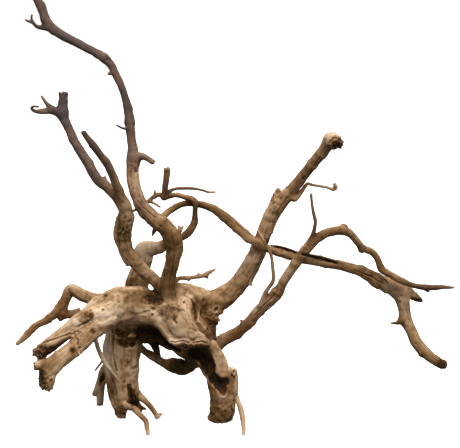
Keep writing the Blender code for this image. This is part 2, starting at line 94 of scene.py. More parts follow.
CROWN = {
    "core": Limb((
        (-34, 113, 16, 14), (-20, 111, 20, 17), (-4, 108, 22, 18), (12, 106, 20, 19), (28, 106, 13, 16),
    )),
    "rear_hump": Limb(((-14, 123, 26, 16), (4, 121, 31, 17), (22, 116, 28, 15))),
    "bridge": Limb(((-30, 129, -8, 15), (-14, 125, -9, 13.5), (2, 122, -8, 13), (14, 124, -2, 14))),
    "front_ridge": Limb(((-2, 128, -10, 9.5), (6, 120, -14, 11.5), (12, 109, -16, 12), (15, 99, -17, 11))),
    "ridge_to_leg": Limb(((8, 116, -10, 12.5), (19, 107, -11, 14), (28, 97, -11, 13))),
    "cape_edge": Limb((
        (6, 98, -19, 6), (10, 92, -21, 6), (18, 88, -20, 5), (26, 91, -17, 6), (34, 92, -13, 6),
    )),
    "low_right": Limb(((2, 96, 8, 10), (12, 90, 6, 11), (22, 84, 4, 12))),
    "stem_shoulder": Limb(((3, 140, 4, 10), (14, 141.5, 8, 10), (25, 136, 11, 10.6))),
}

TALL_STEM = {
    "tall_stem": Limb((
        (0, 115, -2, 10), (-2, 129, -9, 8.6), (-2, 143, -12, 7.2), (-2, 156, -14, 7), (2.6, 171, -16, 6.9),
        (4.4, 184, -17, 8.2), (2.5, 194, -17, 9), (-5, 206, -15, 8.3), (-18.5, 217.3, -11, 7.4),
        (-28.3, 229.3, -7, 6.9), (-33.8, 240.2, -3, 6.5), (-36.8, 252, 1, 6.2), (-37.5, 263, 5, 6.2),
        (-36.8, 272, 8, 6.4), (-37, 282, 11, 5.3), (-38.5, 294, 15, 4.6), (-39.5, 307, 19, 4.6),
        (-40.4, 313, 21, 5.3), (-41.5, 322, 23, 4.5), (-45.5, 338, 28, 3.6), (-50, 351.2, 32, 3.6),
        (-55, 361.4, 36, 3.5), (-60, 370, 39, 3.8), (-65.8, 375.8, 41, 4.8), (-76, 382.2, 44, 4.3),
        (-91.3, 390, 47, 4.3), (-107.2, 398.6, 50, 4.4), (-118, 405.8, 52, 4.9), (-123.4, 412.4, 53, 5),
        (-126.4, 420.6, 54, 4.7), (-130, 429, 55, 4.4), (-133.9, 437, 56, 4), (-138, 444, 57, 3.5),
    ), blunt=True),
    "knot_flank": Limb(((-57, 362, 36, 2.4), (-60, 360.5, 34.5, 1.9), (-61.5, 360, 34, 1.2))),
    "top_twig": Limb((
        (-122, 407, 52, 3.6), (-128, 406.5, 52, 2.5), (-133, 407.6, 50, 1.9), (-137.4, 411.5, 48, 1.5),
        (-140.7, 412.5, 47, 1.3), (-144.5, 414, 46, 1),
    )),
    "top_twiglet": Limb(((-137.4, 412, 48, 1.4), (-138.5, 415.5, 47, 1.1), (-138, 419, 46, 1))),
    "side_twig": Limb((
        (-40.6, 307, 18, 2.9), (-43.5, 305.5, 15, 1.5), (-48, 306, 12, 1.2), (-53.5, 308.8, 10, 1),
    )),
    "side_stub": Limb((
        (-36.6, 275.6, 8, 5.6), (-30, 277.6, 6, 4), (-24.6, 276.6, 4, 3.1), (-16.6, 271.4, 1, 2.7),
    ), blunt=True),
    "shoulder_twig": Limb(((5, 199, -17, 3), (10, 203.5, -15, 2.1), (8.8, 207.6, -14, 1.4))),
    "shoulder_twiglet": Limb(((10, 203.5, -15, 1.6), (13, 207.5, -14, 1.1))),
}

LEFT_STEM = {
    "left_stem": Limb((
        (-4, 139, -2, 7), (-13.5, 150.8, -3, 6.6), (-23.5, 160, -5, 6.3), (-34, 170.5, -8, 6.4),
        (-41, 180.5, -11, 6.4), (-43.7, 190.3, -13, 6), (-44.3, 200, -15, 6.3), (-42.8, 209.4, -17, 6.1),
        (-43.3, 220, -19, 6.8), (-46.3, 230, -22, 6.2), (-49.5, 237, -25, 5.2), (-52, 245, -28, 4.5),
        (-56.5, 257, -33, 4.2), (-61.9, 268.4, -38, 4.1), (-69.3, 278.7, -44, 4), (-76.4, 288.3, -49, 3.7),
        (-83, 296.2, -54, 2.9), (-87, 302.4, -57, 2.6),
    ), blunt=True),
    "outer_tine": Limb((
        (-47, 229, -21, 5.4), (-52.8, 235.6, -19, 5), (-57.2, 240.8, -18, 5), (-64.6, 248.2, -16, 5.1),
        (-73.2, 255, -14, 5.2), (-78.1, 263.3, -12, 5.1), (-83.4, 273, -9, 4.7), (-90.2, 283.4, -6, 4.9),
        (-96, 293.6, -3, 4.7), (-101.1, 305, 0, 4.6), (-105.8, 315, 3, 5), (-107.4, 321.5, 4, 5.8),
        (-106.6, 331, 5, 4.7), (-106.4, 339.6, 6, 4.6),
    ), blunt=True),
    "tine_thorn": Limb(((-67, 251, -15, 3.6), (-65.5, 254.5, -14.5, 2.2), (-65, 257.5, -14, 1.1))),
    "hook_twig": Limb((
        (-108, 321, 4, 5.2), (-115, 322.7, 3, 4), (-121, 323.2, 1, 3.5), (-128, 322.4, -2, 2.8),
        (-134.8, 322.8, -6, 2), (-138.4, 325.2, -8, 1.6), (-137, 327.5, -10, 1.3),
        (-131.6, 327.4, -12, 1.1),
    )),
    "fork_twig": Limb(((-117.6, 325.2, 1, 3), (-123.4, 330.6, 3, 2), (-128.2, 337.6, 6, 1.4))),
    "split_flank": Limb((
        (-48, 220, -14, 3.6), (-51.5, 209, -11, 4), (-52.5, 198.5, -9, 4.2), (-48.5, 188, -8, 4.4),
        (-44, 177, -9, 4.8), (-41, 170.5, -10, 4),
    ), blunt=True),
}

REAR_STEM = {
    "rear_stem": Limb((
        (-32, 133, 22, 14), (-33, 148, 26, 12), (-29.5, 163, 31, 9.2), (-25.5, 175, 34, 8.6),
        (-26, 183, 35, 8.8), (-17.5, 185.4, 34, 7), (-10, 187, 30, 5.4), (-4, 191, 26, 4.2),
        (5, 194, 19, 3.8), (13, 197.2, 13, 3.8), (19.5, 202.6, 9, 3.8), (23.7, 210, 6, 3.5),
        (24.8, 217.5, 4, 2.9), (25, 225, 2, 2.8), (25.2, 231.5, 1, 3.1), (22, 235, 2, 2.9),
        (15.6, 236.8, 5, 2.7), (6, 239, 9, 2.5), (0.3, 238, 11, 2.6), (-5.8, 237.6, 13, 2.7),
        (-11, 239.7, 15, 2.3), (-16.5, 237, 16, 2.1), (-22, 232.6, 16, 1.8), (-30, 227, 14, 1.6),
        (-37, 223, 9, 1.5), (-46, 219, 4, 1.5), (-54, 215.6, -2, 1.5),
    ), blunt=True),
    "cut_stub": Limb((
        (-6, 236.6, 11, 3.1), (-4.8, 245, 9, 3.1), (-3.7, 255, 7, 3.1), (-2.8, 265, 5, 3.2),
    ), blunt=True),
    "long_twig": Limb((
        (-5, 239, 12, 2.4), (1, 243.7, 13, 1.9), (8, 245.5, 16, 1.7), (21.3, 245.6, 21, 1.6),
        (31.5, 244, 26, 1.4), (39, 241.8, 30, 1.3), (44.7, 242, 33, 1.3),
    )),
    "up_twig": Limb(((-15.5, 237.5, 15, 1.7), (-15.3, 241, 14, 1.2), (-15, 243.7, 13, 1))),
    "down_twig": Limb(((-21, 233, 16, 1.6), (-15, 230, 13, 1.3), (-10, 227, 10, 1.1))),
}

LONG_ARC = {
    "long_arc": Limb((
        (-17.6, 198.7, 6, 1.1), (-15, 205, 4, 2.4), (-11, 212, 1, 3.2), (-6.5, 218, -1, 3.4),
        (1, 224, 2, 3.3), (11.8, 229.5, 6, 3.1), (21.3, 230.2, 7.5, 3.1), (31.5, 229.2, 8, 3.5),
        (44.8, 224.2, 6, 3.9), (56.5, 215.4, 4, 4.8), (69.7, 203.8, 1, 5), (82.9, 193.4, -2, 4.8),
        (94.6, 186.8, -3, 4.3), (106.4, 183.3, -3, 5.3), (113.7, 181.3, -2, 5.5), (128.4, 176.9, -1, 5.3),
        (150.4, 172.4, 1, 5.1), (171.5, 168, 5, 5.1), (189, 163.6, 9, 5.5), (202.3, 157, 13, 6.3),
        (214, 151, 16, 6.8), (226, 143.8, 18, 7.8), (232, 134.7, 17, 6.8), (234.6, 124, 15, 6.2),
        (237, 112, 12, 5.9), (241, 102.4, 8, 5.4), (245.4, 92.6, 3, 5.6), (252.8, 83.6, -2, 5.9),
        (261.6, 76.2, -7, 5.5), (270.2, 70.6, -11, 4.8), (273.6, 69.4, -13, 4.2),
    )),
    "arc_spur": Limb((
        (224, 147, 18, 6.8), (235.8, 142.6, 22, 5.8), (243.6, 138, 25, 4.3), (251.6, 133, 28, 1.7),
    )),
    "arc_thorn": Limb(((232, 114, 12, 4.4), (227.2, 111.2, 9, 2.1), (221.4, 110.8, 7, 1.1))),
}

THICK_STEM = {
    "thick_stem": Limb((
        (18, 130, 9, 13), (30, 132.2, 13, 11.4), (42, 133.2, 16, 10.2), (52.5, 136.8, 17, 10.4),
        (60.6, 142, 16, 10.2), (69, 150.4, 15, 9.7), (79.6, 166, 12, 8.8), (88.6, 184.6, 9, 7.9),
        (95, 203.2, 8, 7.3), (102, 218.6, 6, 7.2), (110.5, 230.5, 4, 7.4), (118.8, 241, 1, 6.3),
        (129.6, 253.6, -3, 5.4), (138.8, 265.4, -7, 5.4), (147.8, 277, -11, 5.5), (156, 286.6, -15, 6),
        (161, 293.2, -19, 7.8), (163.8, 290.8, -25, 7.6),
    ), blunt=True),
    "torn_collar": Limb((
        (97, 210, 8, 5), (102, 224, 8, 5), (105.5, 235, 8, 4), (108.4, 246, 8, 2),
    ), blunt=True),
    "collar_splinter": Limb(((112, 238, 4, 3), (116.8, 246, 3, 1.1))),
    "crook_twig": Limb((
        (124, 236, -1, 3.6), (130.6, 241.6, 2, 2.4), (137, 249.9, 4, 1.9), (141.6, 249.2, 7, 1.6),
        (150.4, 247.8, 11, 1.5), (157.7, 246.4, 14, 1.5), (163, 244.6, 16, 2), (165.8, 246.4, 16, 2.1),
        (164.6, 249.8, 15, 2),
    )),
    "knob_splinter": Limb(((164, 296, -24, 3.5), (170, 297, -25, 1.2))),
    "stem_thorn": Limb(((79, 154, 10, 3), (81.3, 148.7, 7, 1.2))),
    "broken_root": Limb(((30, 128, 16, 11), (36, 119, 14, 10.6), (39, 111, 12, 8.2)), blunt=True),
    "root_thorn": Limb(((40, 117, 8, 6), (49.4, 113.8, 6, 1.4))),
    "root_stub": Limb(((38, 112, 15, 6), (42, 103, 15, 4.2), (43.5, 95, 16, 3.2)), blunt=True),
}

RIGHT_ROOT = {
    "right_root": Limb((
        (28, 84, 22, 8), (42.4, 86.4, 23, 6.7), (54.2, 93.8, 20, 6), (67.6, 101.6, 15, 5.6),
        (77.8, 110.4, 10, 5.7), (87.8, 122, 5, 5.3), (98.4, 132, 0, 5.6), (107.6, 141.4, -4, 6.1),
        (112.6, 150.4, -7, 4.8), (121.7, 165, -11, 4.7), (129.2, 175.2, -13.5, 5.1), (137.2, 185.8, -15, 5),
        (144.6, 194.2, -15, 4.8), (154.2, 200.2, -14, 4.6), (165.8, 203.6, -12, 4.4),
        (173.4, 203.6, -10, 4.6), (181, 199.2, -6, 3.8), (187.4, 192.4, -2, 3.8), (193, 185.8, 2, 3.6),
        (200.4, 183, 4, 3.3), (206.2, 177.4, 5, 3.2), (210, 168.8, 4, 3.3), (213.8, 163, 3, 3.5),
        (222.8, 158, 2, 3.3), (233.4, 152.8, 1, 3), (242, 149, 0, 2.6), (252.3, 146.9, -3, 2.8),
        (264, 146.3, -6, 2.7), (272.8, 147, -8, 2.2), (283.7, 146.4, -11, 1.2),
    )),
    "upright_twig": Limb((
        (141, 193, -15, 3), (143.8, 202, -18, 2), (145.2, 210, -21, 1.8), (145.3, 213.5, -22, 1.9),
        (142.9, 224.2, -26, 1.6), (141, 239.6, -31, 1.4),
    )),
    "crossing_twig": Limb((
        (91, 129, -1, 3), (96.7, 143.5, -5, 2.1), (103.3, 153.8, -8, 2), (102.6, 167, -11, 1.7),
        (101, 178.7, -13, 1.6), (95.2, 190.4, -14, 1.4), (87.9, 203.6, -12, 1.1),
    )),
    "low_nub": Limb(((74, 108, 10, 3), (71, 113.5, 8, 1.4))),
    "crest_nub": Limb(((173, 204, -10, 3.6), (174.5, 209, -10, 2.8)), blunt=True),
    "under_nub": Limb(((191, 185, 2, 3), (190.8, 182, 2, 1.8)), blunt=True),
    "back_twig": Limb((
        (0, 148, 8, 4), (8, 155.2, 17, 2.4), (19, 156.2, 22, 2.1), (33, 158.2, 28, 2),
        (38.5, 161.3, 31, 2.3), (45, 164.6, 34, 1.1),
    )),
}

LEFT_ROOTS = {
    "bent_root": Limb((
        (-56, 128, 8, 10), (-68, 133, 18, 7.4), (-76, 134, 24, 6.6), (-88, 138.2, 31, 6.2),
        (-96.5, 143.8, 36, 6.1), (-100, 143.8, 37, 5.6), (-104, 136, 35, 5.2), (-107.8, 127, 31, 5.3),
        (-105.5, 121, 30, 4.6), (-98, 120, 33, 3.9), (-91, 122.6, 38, 3.4),
    ), blunt=True),
    "bent_root_tip": Limb((
        (-108, 128, 31, 4.6), (-116, 120, 26, 4.2), (-124, 113.5, 22, 3.9), (-132, 109.5, 17, 3.3),
        (-139.5, 103.4, 12, 3.3), (-146.5, 95.7, 6, 3), (-152.6, 90.2, 2, 1.9),
    )),
    "slab": Limb((
        (-12, 124, 0, 13), (-24, 127, -5, 17), (-38, 129, -10, 18), (-52, 129.5, -16, 17.5),
        (-64, 124.5, -24, 16), (-75, 117, -31, 13),
    ), flat=0.72),
    "slab_upper_fork": Limb((
        (-72, 120, -29, 11.5), (-85, 114.5, -35, 9), (-98, 106, -40, 8.3), (-111, 96, -44, 7.4),
        (-122.5, 87.4, -47, 7.3), (-131.2, 79.4, -49, 6.4),
    ), flat=0.8, blunt=True),
    "slab_lower_fork": Limb((
        (-65, 115.5, -29, 10.8), (-79.5, 101.6, -42, 9.4), (-91.7, 90, -52, 8.6), (-104, 79, -61, 8.4),
        (-115, 70, -68, 8.6), (-121.6, 61, -71, 8), (-123.6, 53, -73, 7.2), (-123.8, 47.6, -74, 6.2),
    ), flat=0.85, blunt=True),
    "fork_spur": Limb(((-116, 69, -66, 6), (-125.5, 70, -68, 5), (-134.4, 68.4, -70, 4.3)), blunt=True),
}

CENTRE_LEG = {
    "centre_leg": Limb((
        (-44, 118, 2, 15), (-47, 103, 4, 17), (-48, 83, 5, 18), (-48, 60, 4, 15.3), (-46, 44, 2, 13.6),
        (-47.5, 33, 0, 9.5), (-49.5, 23, -2, 5.8), (-48.6, 18.4, -3, 4.4),
    ), flat=0.62),
    "leg_rib": Limb((
        (-60, 108, -4, 3.8), (-62, 91, -2, 3.8), (-63, 78, -1, 3.6), (-60.5, 63, -1, 3.2),
        (-57, 48, -1, 2.6),
    ), tone=0.16),
    "leg_lobe": Limb(((-37, 64, 6, 6), (-37.6, 48, 6, 5.6), (-35, 37, 6, 4.6))),
    "rear_rootlet": Limb((
        (-38, 42, 10, 5.5), (-35, 33, 13, 4.2), (-32, 27, 13, 3), (-29.5, 23.5, 12, 1.8),
    )),
    "rear_rootlet_twig": Limb(((-33, 29, 13, 2.4), (-29, 27, 14, 1.8), (-24.7, 25, 14, 1.2))),
    "front_twig": Limb((
        (-49, 33, -2, 4.5), (-43.6, 28, -10, 3.5), (-36.4, 25.4, -18, 3.2), (-30, 19, -28, 2.7),
        (-24.5, 13.4, -37, 2.6), (-23, 7, -44, 2.2), (-22, 0, -51, 1.9), (-22.3, -4, -54, 2.2),
    ), blunt=True),
    "side_rootlet": Limb((
        (-33, 40, 6, 4), (-25.8, 33.8, 1, 2.8), (-20.4, 28.5, -3, 2.5), (-15, 21.2, -7, 2.4),
        (-12.2, 16.5, -10, 2.3),
    ), blunt=True),
    "side_rootlet_twig": Limb(((-12.6, 17.6, -9, 1.6), (-8.2, 20.6, -9, 1.2))),
    "rear_prop": Limb((
        (-58, 74, 8, 6), (-65, 62, 14, 5.2), (-68, 53, 18, 4), (-69.4, 41, 22, 3.4), (-70.2, 30, 25, 3.2),
    ), blunt=True),
    "rear_prop_tine": Limb((
        (-65, 61, 14, 4.6), (-70, 52, 19, 3.6), (-73.5, 44, 23, 2.9), (-75.4, 40, 26, 2.6),
    ), blunt=True),
    "hidden_leg": Limb((
        (-34, 112, 26, 12), (-38, 97, 42, 9.8), (-46, 84, 52, 8.2), (-45, 70, 62, 7.8), (-51, 57, 71, 6.8),
        (-47, 46, 80, 6.2), (-49, 38, 85, 5.4),
    ), blunt=True),
    "strut_twig": Limb((
        (-75.9, 99, -36, 2.3), (-71.2, 83.6, -28, 2.2), (-65, 71, -24, 2.3), (-58.6, 62, -20, 1.9),
        (-51.6, 53.8, -16, 1),
    ), tone=0.08),
    "strut_twiglet": Limb(((-66.5, 74, -21, 1.6), (-69.5, 70.5, -19, 1.2), (-74.6, 63.8, -14, 1))),
}

RIGHT_LEG = {
    "right_leg": Limb((
        (13, 108, -3, 15), (22, 97, -4, 14.5), (32, 84, -5, 13.5), (41.3, 71.2, -6, 12.5),
        (48.5, 58, -7, 13), (52, 47, -8, 13.2), (52.9, 32, -8, 12.7), (52.2, 21, -8, 12.3),
        (49.6, 13, -8, 11), (50, 5, -8, 10.6),
    ), blunt=True),
    "spike": Limb((
        (62, 43, -6, 4), (67, 35, -12, 2.7), (70.8, 25, -22, 2.7), (73, 14.5, -35, 2.3),
        (73.9, 6, -45, 1.8), (73.5, -1, -52, 1.5), (73.3, -4, -54, 1.4),
    ), blunt=True),
    "edge_knot": Limb(((58.6, 60, -9, 4.4), (64.4, 64, -10, 2.2)), blunt=True),
    "hidden_root": Limb((
        (18, 108, 30, 13), (29, 94, 42, 10.4), (39, 80, 50, 8.6), (42, 66, 61, 7.6), (50, 54, 68, 7.2),
        (50, 44, 77, 6.4), (54, 34, 82, 5.6),
    ), blunt=True),
    "arch_root": Limb((
        (-36, 91, 16, 4.4), (-25, 82.5, 24, 3.6), (-18, 77.5, 27, 4), (-6.3, 71, 29, 4.5),
        (4.6, 66, 27, 5.1), (14, 64.5, 21, 5.5), (22, 69, 14, 5.5), (29, 76, 6, 8),
    )),
    "arch_root_crust": Limb(((0, 71, 26, 4.7), (10, 70, 20, 5.2))),
    "arch_tooth": Limb(((-18, 93, 12, 4.6), (-14, 85, 11, 3.4), (-11.2, 78.7, 10, 1.9))),
}

HOLLOWS = {
    "under_crown": Limb((
        (-32, 103, -14, 6), (-22, 101, -12, 9), (-10, 99, -10, 10), (0, 97, -8, 9), (6, 90, -8, 6),
    )),
    "leg_hollow": Limb((
        (24, 84, -19, 6), (34, 78, -20.5, 7.8), (39, 67.5, -21, 7.2), (41.2, 58, -21, 5.8),
        (50, 49.5, -21, 5.6), (52.4, 42, -20, 3.6),
    )),
    "stem_pit": Limb(((-22.5, 138.8, -25, 7), (-17, 136.8, -21, 7.6), (-11.8, 133.6, -20.4, 5.4))),
    "leg_recess": Limb(((-57, 103, -10, 4), (-50, 100, -9, 5.5), (-43, 96, -8, 5.5), (-38, 90, -6, 4))),
    "leg_groove": Limb(((-40, 54, -9, 1.6), (-39.5, 44, -8, 2.6), (-39.5, 34, -7, 3.4), (-40, 24, -6, 4))),
    "arc_slot": Limb((
        (98, 189.5, -6, 0.9), (112, 185, -7, 2), (130, 180.5, -6.5, 2.2), (150, 175, -4.5, 2),
        (166, 170.8, -1, 0.8),
    )),
}

SPLINTERS = {
    "slab_splinter": Limb((
        (-98, 99, -54, 1.6), (-96, 92, -57, 1.2), (-93, 85, -60, 1.2), (-90, 79, -62, 0.9),
    ), tone=0.1),
    "cape_shard": Limb(((17, 84, -20, 2.6), (19, 80, -20, 1.4)), tone=-0.2),
    "rim_shard": Limb(((39, 104, 12, 3), (38, 96, 12, 2), (37, 92, 12, 1.2)), tone=-0.4),
}

FORMS = {
    "arch_rim": Limb((
        (-62, 110.5, -22, 4), (-50, 115.5, -19, 5.5), (-38, 117, -18, 6.5), (-26, 117, -16, 6.5),
        (-15, 115.5, -16, 6.5), (-8, 109.5, -17, 6), (-3, 102, -18, 5.4), (1.5, 95.5, -20, 4.6),
    ), tone=0.05),
    "cape_plate": Limb((
        (2, 118, -19, 8), (8, 110, -21, 9), (13, 103, -21, 9), (20, 97, -20, 8), (30, 96, -17, 7),
    ), flat=0.6, tone=0.05),
    "cape_lip": Limb((
        (2, 93, -25, 3), (7, 91.5, -26, 3.2), (11, 93, -26, 3), (16, 93, -26, 2.8), (20, 90.5, -25, 2.8),
        (25, 92, -23, 3.2), (31, 93, -21, 3), (37, 91, -19, 2.8),
    ), tone=0.05),
    # The back wall's lowered tone is painted shade at the back of the cavity under the crown.
    "back_wall": Limb(((-30, 99, 19, 7), (-20, 98, 21, 8), (-8, 97, 21, 8), (2, 93, 19, 9)), tone=-0.3),
    "mask_brow": Limb((
        (43, 89, -14.5, 4.4), (48.4, 80, -13.6, 4.8), (51.6, 72, -13.2, 5.4), (52.4, 64.4, -13.6, 5.6),
        (53.8, 60.6, -14.4, 4.8), (58, 63, -13.6, 4.4),
    ), flat=0.62, tone=-0.02),
    "plate_fold": Limb((
        (-36, 106, -6, 4), (-34.6, 96, -4, 3.6), (-35.2, 84, -3, 3), (-36, 70, -3, 2.4),
    ), tone=-0.05),
    "plate_ridge": Limb(((-52, 88, -2, 6), (-52, 70, -3, 5.6), (-52, 52, -4, 5), (-49, 38, -5, 4.6))),
    "slab_strip": Limb((
        (-88, 110, -41, 3), (-99, 101, -46, 3.2), (-112, 93, -50, 3), (-124, 87, -53, 2.6),
    ), tone=0.03),
    "slab_spine": Limb((
        (-56, 128, -24, 9), (-70, 121, -33, 8), (-82, 118, -38, 6), (-92, 111, -42, 4),
    ), tone=0.05),
    "stem_buttress": Limb((
        (7, 138, -4, 6), (11, 128, -11, 6.5), (15, 119, -16, 6), (21, 108, -20, 5),
    ), tone=0.04),
    "plate_edge": Limb((
        (-58, 62, 1, 3.6), (-60, 50, 1, 3.4), (-58.5, 39, 0, 3.2), (-55, 29, -1, 3),
    ), tone=-0.1),
    "leg_bulge": Limb((
        (62.5, 63, -9, 4), (64, 55, -9, 4.2), (63.6, 46, -9, 4.6), (60, 37, -9, 4.4),
    ), tone=0.04),
    "lump_web": Limb(((40, 127, 11, 8), (47, 128, 12, 7), (54, 131, 13, 5.4), (60, 135, 14, 4))),
    # The cleft's back has a lowered tone as painted shade inside the cleft.
    "cleft_back": Limb(((-41, 44, 7, 6), (-39.5, 34, 8, 5), (-38.5, 28, 8, 3.6)), tone=-0.3),
    "cave_ridge": Limb((
        (-56, 99.5, -12, 3), (-50, 97, -12, 2.6), (-42, 97.5, -11, 2.6), (-36, 99, -10, 3),
    )),
    "hook_flap": Limb(((-109, 123, 30, 4.6), (-113, 128, 29, 2.2))),
    "hook_crust": Limb(((-108, 119, 28, 4.4), (-109.6, 114.6, 27, 2.2))),
    "tip_nub": Limb(((255.4, 146.8, -4, 2.6), (258, 142.8, -4, 1.5))),
    "arc_nub": Limb(((205, 153, 14, 5.5), (207.5, 147.6, 14, 3.0))),
    "arc_bump": Limb(((213, 149, 15, 5.5), (216, 143.6, 15, 3.0))),
    "twig_nub": Limb(((29, 157.6, 27, 1.8), (28.4, 161, 27, 1.1))),
    "twig_spur": Limb(((35.5, 159, 29, 2.2), (37.6, 156, 30, 1.1))),
    "twig_bud": Limb(((17, 156, 21, 1.8), (19, 153.6, 21, 1.1))),
    "lump_tip": Limb(((40, 123, 9, 6), (46, 123, 10, 5), (50.5, 122, 11, 3))),
    "end_knob": Limb(((-122.5, 59, -71, 6), (-121, 52, -73, 5.2), (-121, 48.5, -73, 3.4)), tone=0.05),
}

CAVES = {
    "arch_cave": Limb((
        (-32, 101, -2, 7), (-22, 100, -3, 10), (-12, 98, -3, 10.5), (-3, 93, -2, 8.5), (5, 85, -3, 6.5),
    )),
    "leg_cave": Limb(((-55, 105.5, -13, 3), (-50, 103, -10, 4.4), (-44, 103, -9, 3.4))),
    "leg_pocket": Limb(((-52, 94, -8, 3.4), (-47, 90.5, -7, 4.6), (-41, 90, -6.5, 4), (-37, 92, -6, 2.6))),
    "mask_cave": Limb((
        (8, 83, -12, 6), (20, 81, -14, 8), (33, 77, -14, 8), (38.4, 68, -14, 7.4), (41, 59, -15, 5.8),
        (47.4, 51.5, -16, 5.4), (51.4, 46, -17, 4.4), (52.6, 41.6, -18, 2.8),
    )),
    "mask_corner": Limb(((47, 51.5, -16, 5), (52.5, 51.8, -17, 4.6), (56.2, 52.6, -18, 4))),
    "fork_slit": Limb((
        (-126, 81, -57, 1.4), (-114, 86.5, -56, 1.8), (-106, 91, -54, 1.8), (-100, 98, -52, 1.2),
    )),
    "end_rot": Limb(((-134, 62, -80, 3), (-129, 57, -84, 4.5), (-127, 50, -86, 4), (-126, 46, -86, 2.5))),
    "stem_gap": Limb(((-20.8, 147.6, -26, 2), (-20.4, 147.2, 0, 2.1), (-20.4, 147.2, 40, 2.1))),
    "stem_gap_low": Limb(((-18.8, 144.8, -26, 1.6), (-18.8, 145.4, 0, 1.6), (-18.8, 145.4, 40, 1.6))),
    "prop_cleft": Limb(((-67, 60, 8, 1.8), (-68, 54, 12, 2.6), (-70.5, 48, 14, 2.2))),
}
LIMB_GROUPS = (
    CROWN, TALL_STEM, LEFT_STEM, REAR_STEM, LONG_ARC, THICK_STEM, RIGHT_ROOT, LEFT_ROOTS, CENTRE_LEG,
    RIGHT_LEG, SPLINTERS, FORMS,
)


# A depth in front of the whole root, in millimetres.
IN_FRONT_OF_ALL = -999.0


class Carving(Enum):
    """How a mark changes the skin."""

    KNOT = "knot"
    EYE = "eye"
    PIT = "pit"


@dataclass(frozen=True)
class Mark:
    """A round mark on the side that faces the viewer, in millimetres on the drawing."""

    carving: Carving
    across: float
    up: float
    radius: float
    relief: float


@dataclass(frozen=True)
class Crack:
    """A split or groove on the side that faces the viewer, along (across, up) points of the drawing; dark is
    how much painted shade lies in its split.
    """

    line: tuple
    width: float
    depth: float
    dark: float = 1.0


@dataclass(frozen=True)
class Stain:
    """A soft oval on the drawing, turned by some degrees, that shifts the wood's tone and tints it. A few of
    them paint shade into cavities, or light onto wood that lies in shade.

    It reaches only wood that lies behind a depth in millimetres.
    """

    across: float
    up: float
    half_width: float
    half_height: float
    tone: float
    grey: float = 0.0
    turn: float = 0.0
    olive: float = 0.0
    rust: float = 0.0
    behind: float = IN_FRONT_OF_ALL


@dataclass(frozen=True)
class Rough:
    """A patch of torn or rotted wood on the side that faces the viewer, with its height in millimetres."""

    across: float
    up: float
    radius: float
    height: float


# Each row is across, up, radius and height.
ROUGH_PATCHES = tuple(Rough(*row) for row in (
    (-131, 82, 11, 1.8), (-128, 52, 10, 1.6), (-136, 68, 5, 1.0), (-49, 20, 9, 1.1), (52, 15, 15, 1.2),
    (40, 112, 11, 1.2), (41, 101, 8, 1.3), (168, 290, 8, 1.4), (106, 238, 9, 1.3), (-107, 340, 7, 1.3),
    (-86, 302, 4, 1.0), (248, 134, 7, 1.2), (-18, 136, 9, 0.8), (18, 86, 10, 1.0), (32, 87, 8, 1.0),
    (-50, 101, 6, 1.0), (274, 69, 7, 0.9), (-84, 118, 8, 1.2), (-62, 137, 6, 0.9), (64, 60, 6, 1.0),
    (-98, 100, 8, 1.0), (0, 122, 9, 0.6), (8, 74, 9, 1.5), (-14, 84, 7, 1.2), (-68, 62, 7, 1.0),
    (-36, 30, 8, 1.0), (-62, 374, 7, 0.8), (-36, 268, 6, 0.6), (-108, 119, 7, 0.9), (-120, 112, 8, 0.8),
    (-136, 105, 7, 0.7), (-106, 131, 7, 0.8), (-3, 265, 4, 0.7), (228, 150, 8, 0.6), (106, 142, 8, 0.5),
    (-47, 200, 9, 1.0),
))

# Each row is across, up, radius and relief.
MARK_ROWS = {
    Carving.KNOT: (
        (-84, 118, 6.0, 2.2), (-63, 137, 5.0, 1.6), (-120, 54, 5.0, 1.5), (-50, 24, 4.0, 1.4),
        (62, 57, 3.2, 1.0), (-36, 267, 3.5, 1.3), (7, 190, 5.0, 1.2), (-64, 378, 4.0, 1.3),
        (-44, 217, 4.5, 1.4), (105, 226, 4.5, 1.4), (104, 140, 4.0, 1.2), (170, 205, 4.0, 1.0),
        (218, 147, 5.0, 1.2), (238, 108, 4.0, 1.0),
    ),
    Carving.EYE: (
        (-79, 118, 2.6, 2.0), (-67, 124, 1.5, 2.0), (-38.5, 89, 2.4, 3.0), (14.5, 132, 1.6, 2.0),
        (64, 62, 1.6, 2.0), (46, 124, 2.4, 3.0), (37, 104, 2.2, 3.0),
    ),
    Carving.PIT: (
        (-64.5, 138.5, 2.0, 2.0), (-90, 86.5, 1.6, 1.2), (-125, 86, 1.6, 1.6), (-42, 71.5, 1.3, 0.8),
        (-46, 52, 1.6, 1.0), (-77, 103, 2.2, 0.6), (-97, 84, 2.4, 0.7), (-120, 54, 2.0, 1.6),
        (5, 116, 1.6, 2.6), (-48, 27, 1.6, 2.0), (-16.5, 124.5, 1.8, 3.0), (-35, 141, 2.0, 0.8),
        (-34, 263, 1.5, 1.2), (-62.5, 375, 1.6, 1.4), (-103, 131, 1.6, 1.0), (-41, 213, 1.4, 1.2),
        (92, 176, 1.6, 1.2), (112, 222, 1.6, 1.4), (133, 256, 1.6, 1.2), (34, 134, 1.8, 1.4),
    ),
}
MARKS = tuple(Mark(carving, *row) for carving, rows in MARK_ROWS.items() for row in rows)

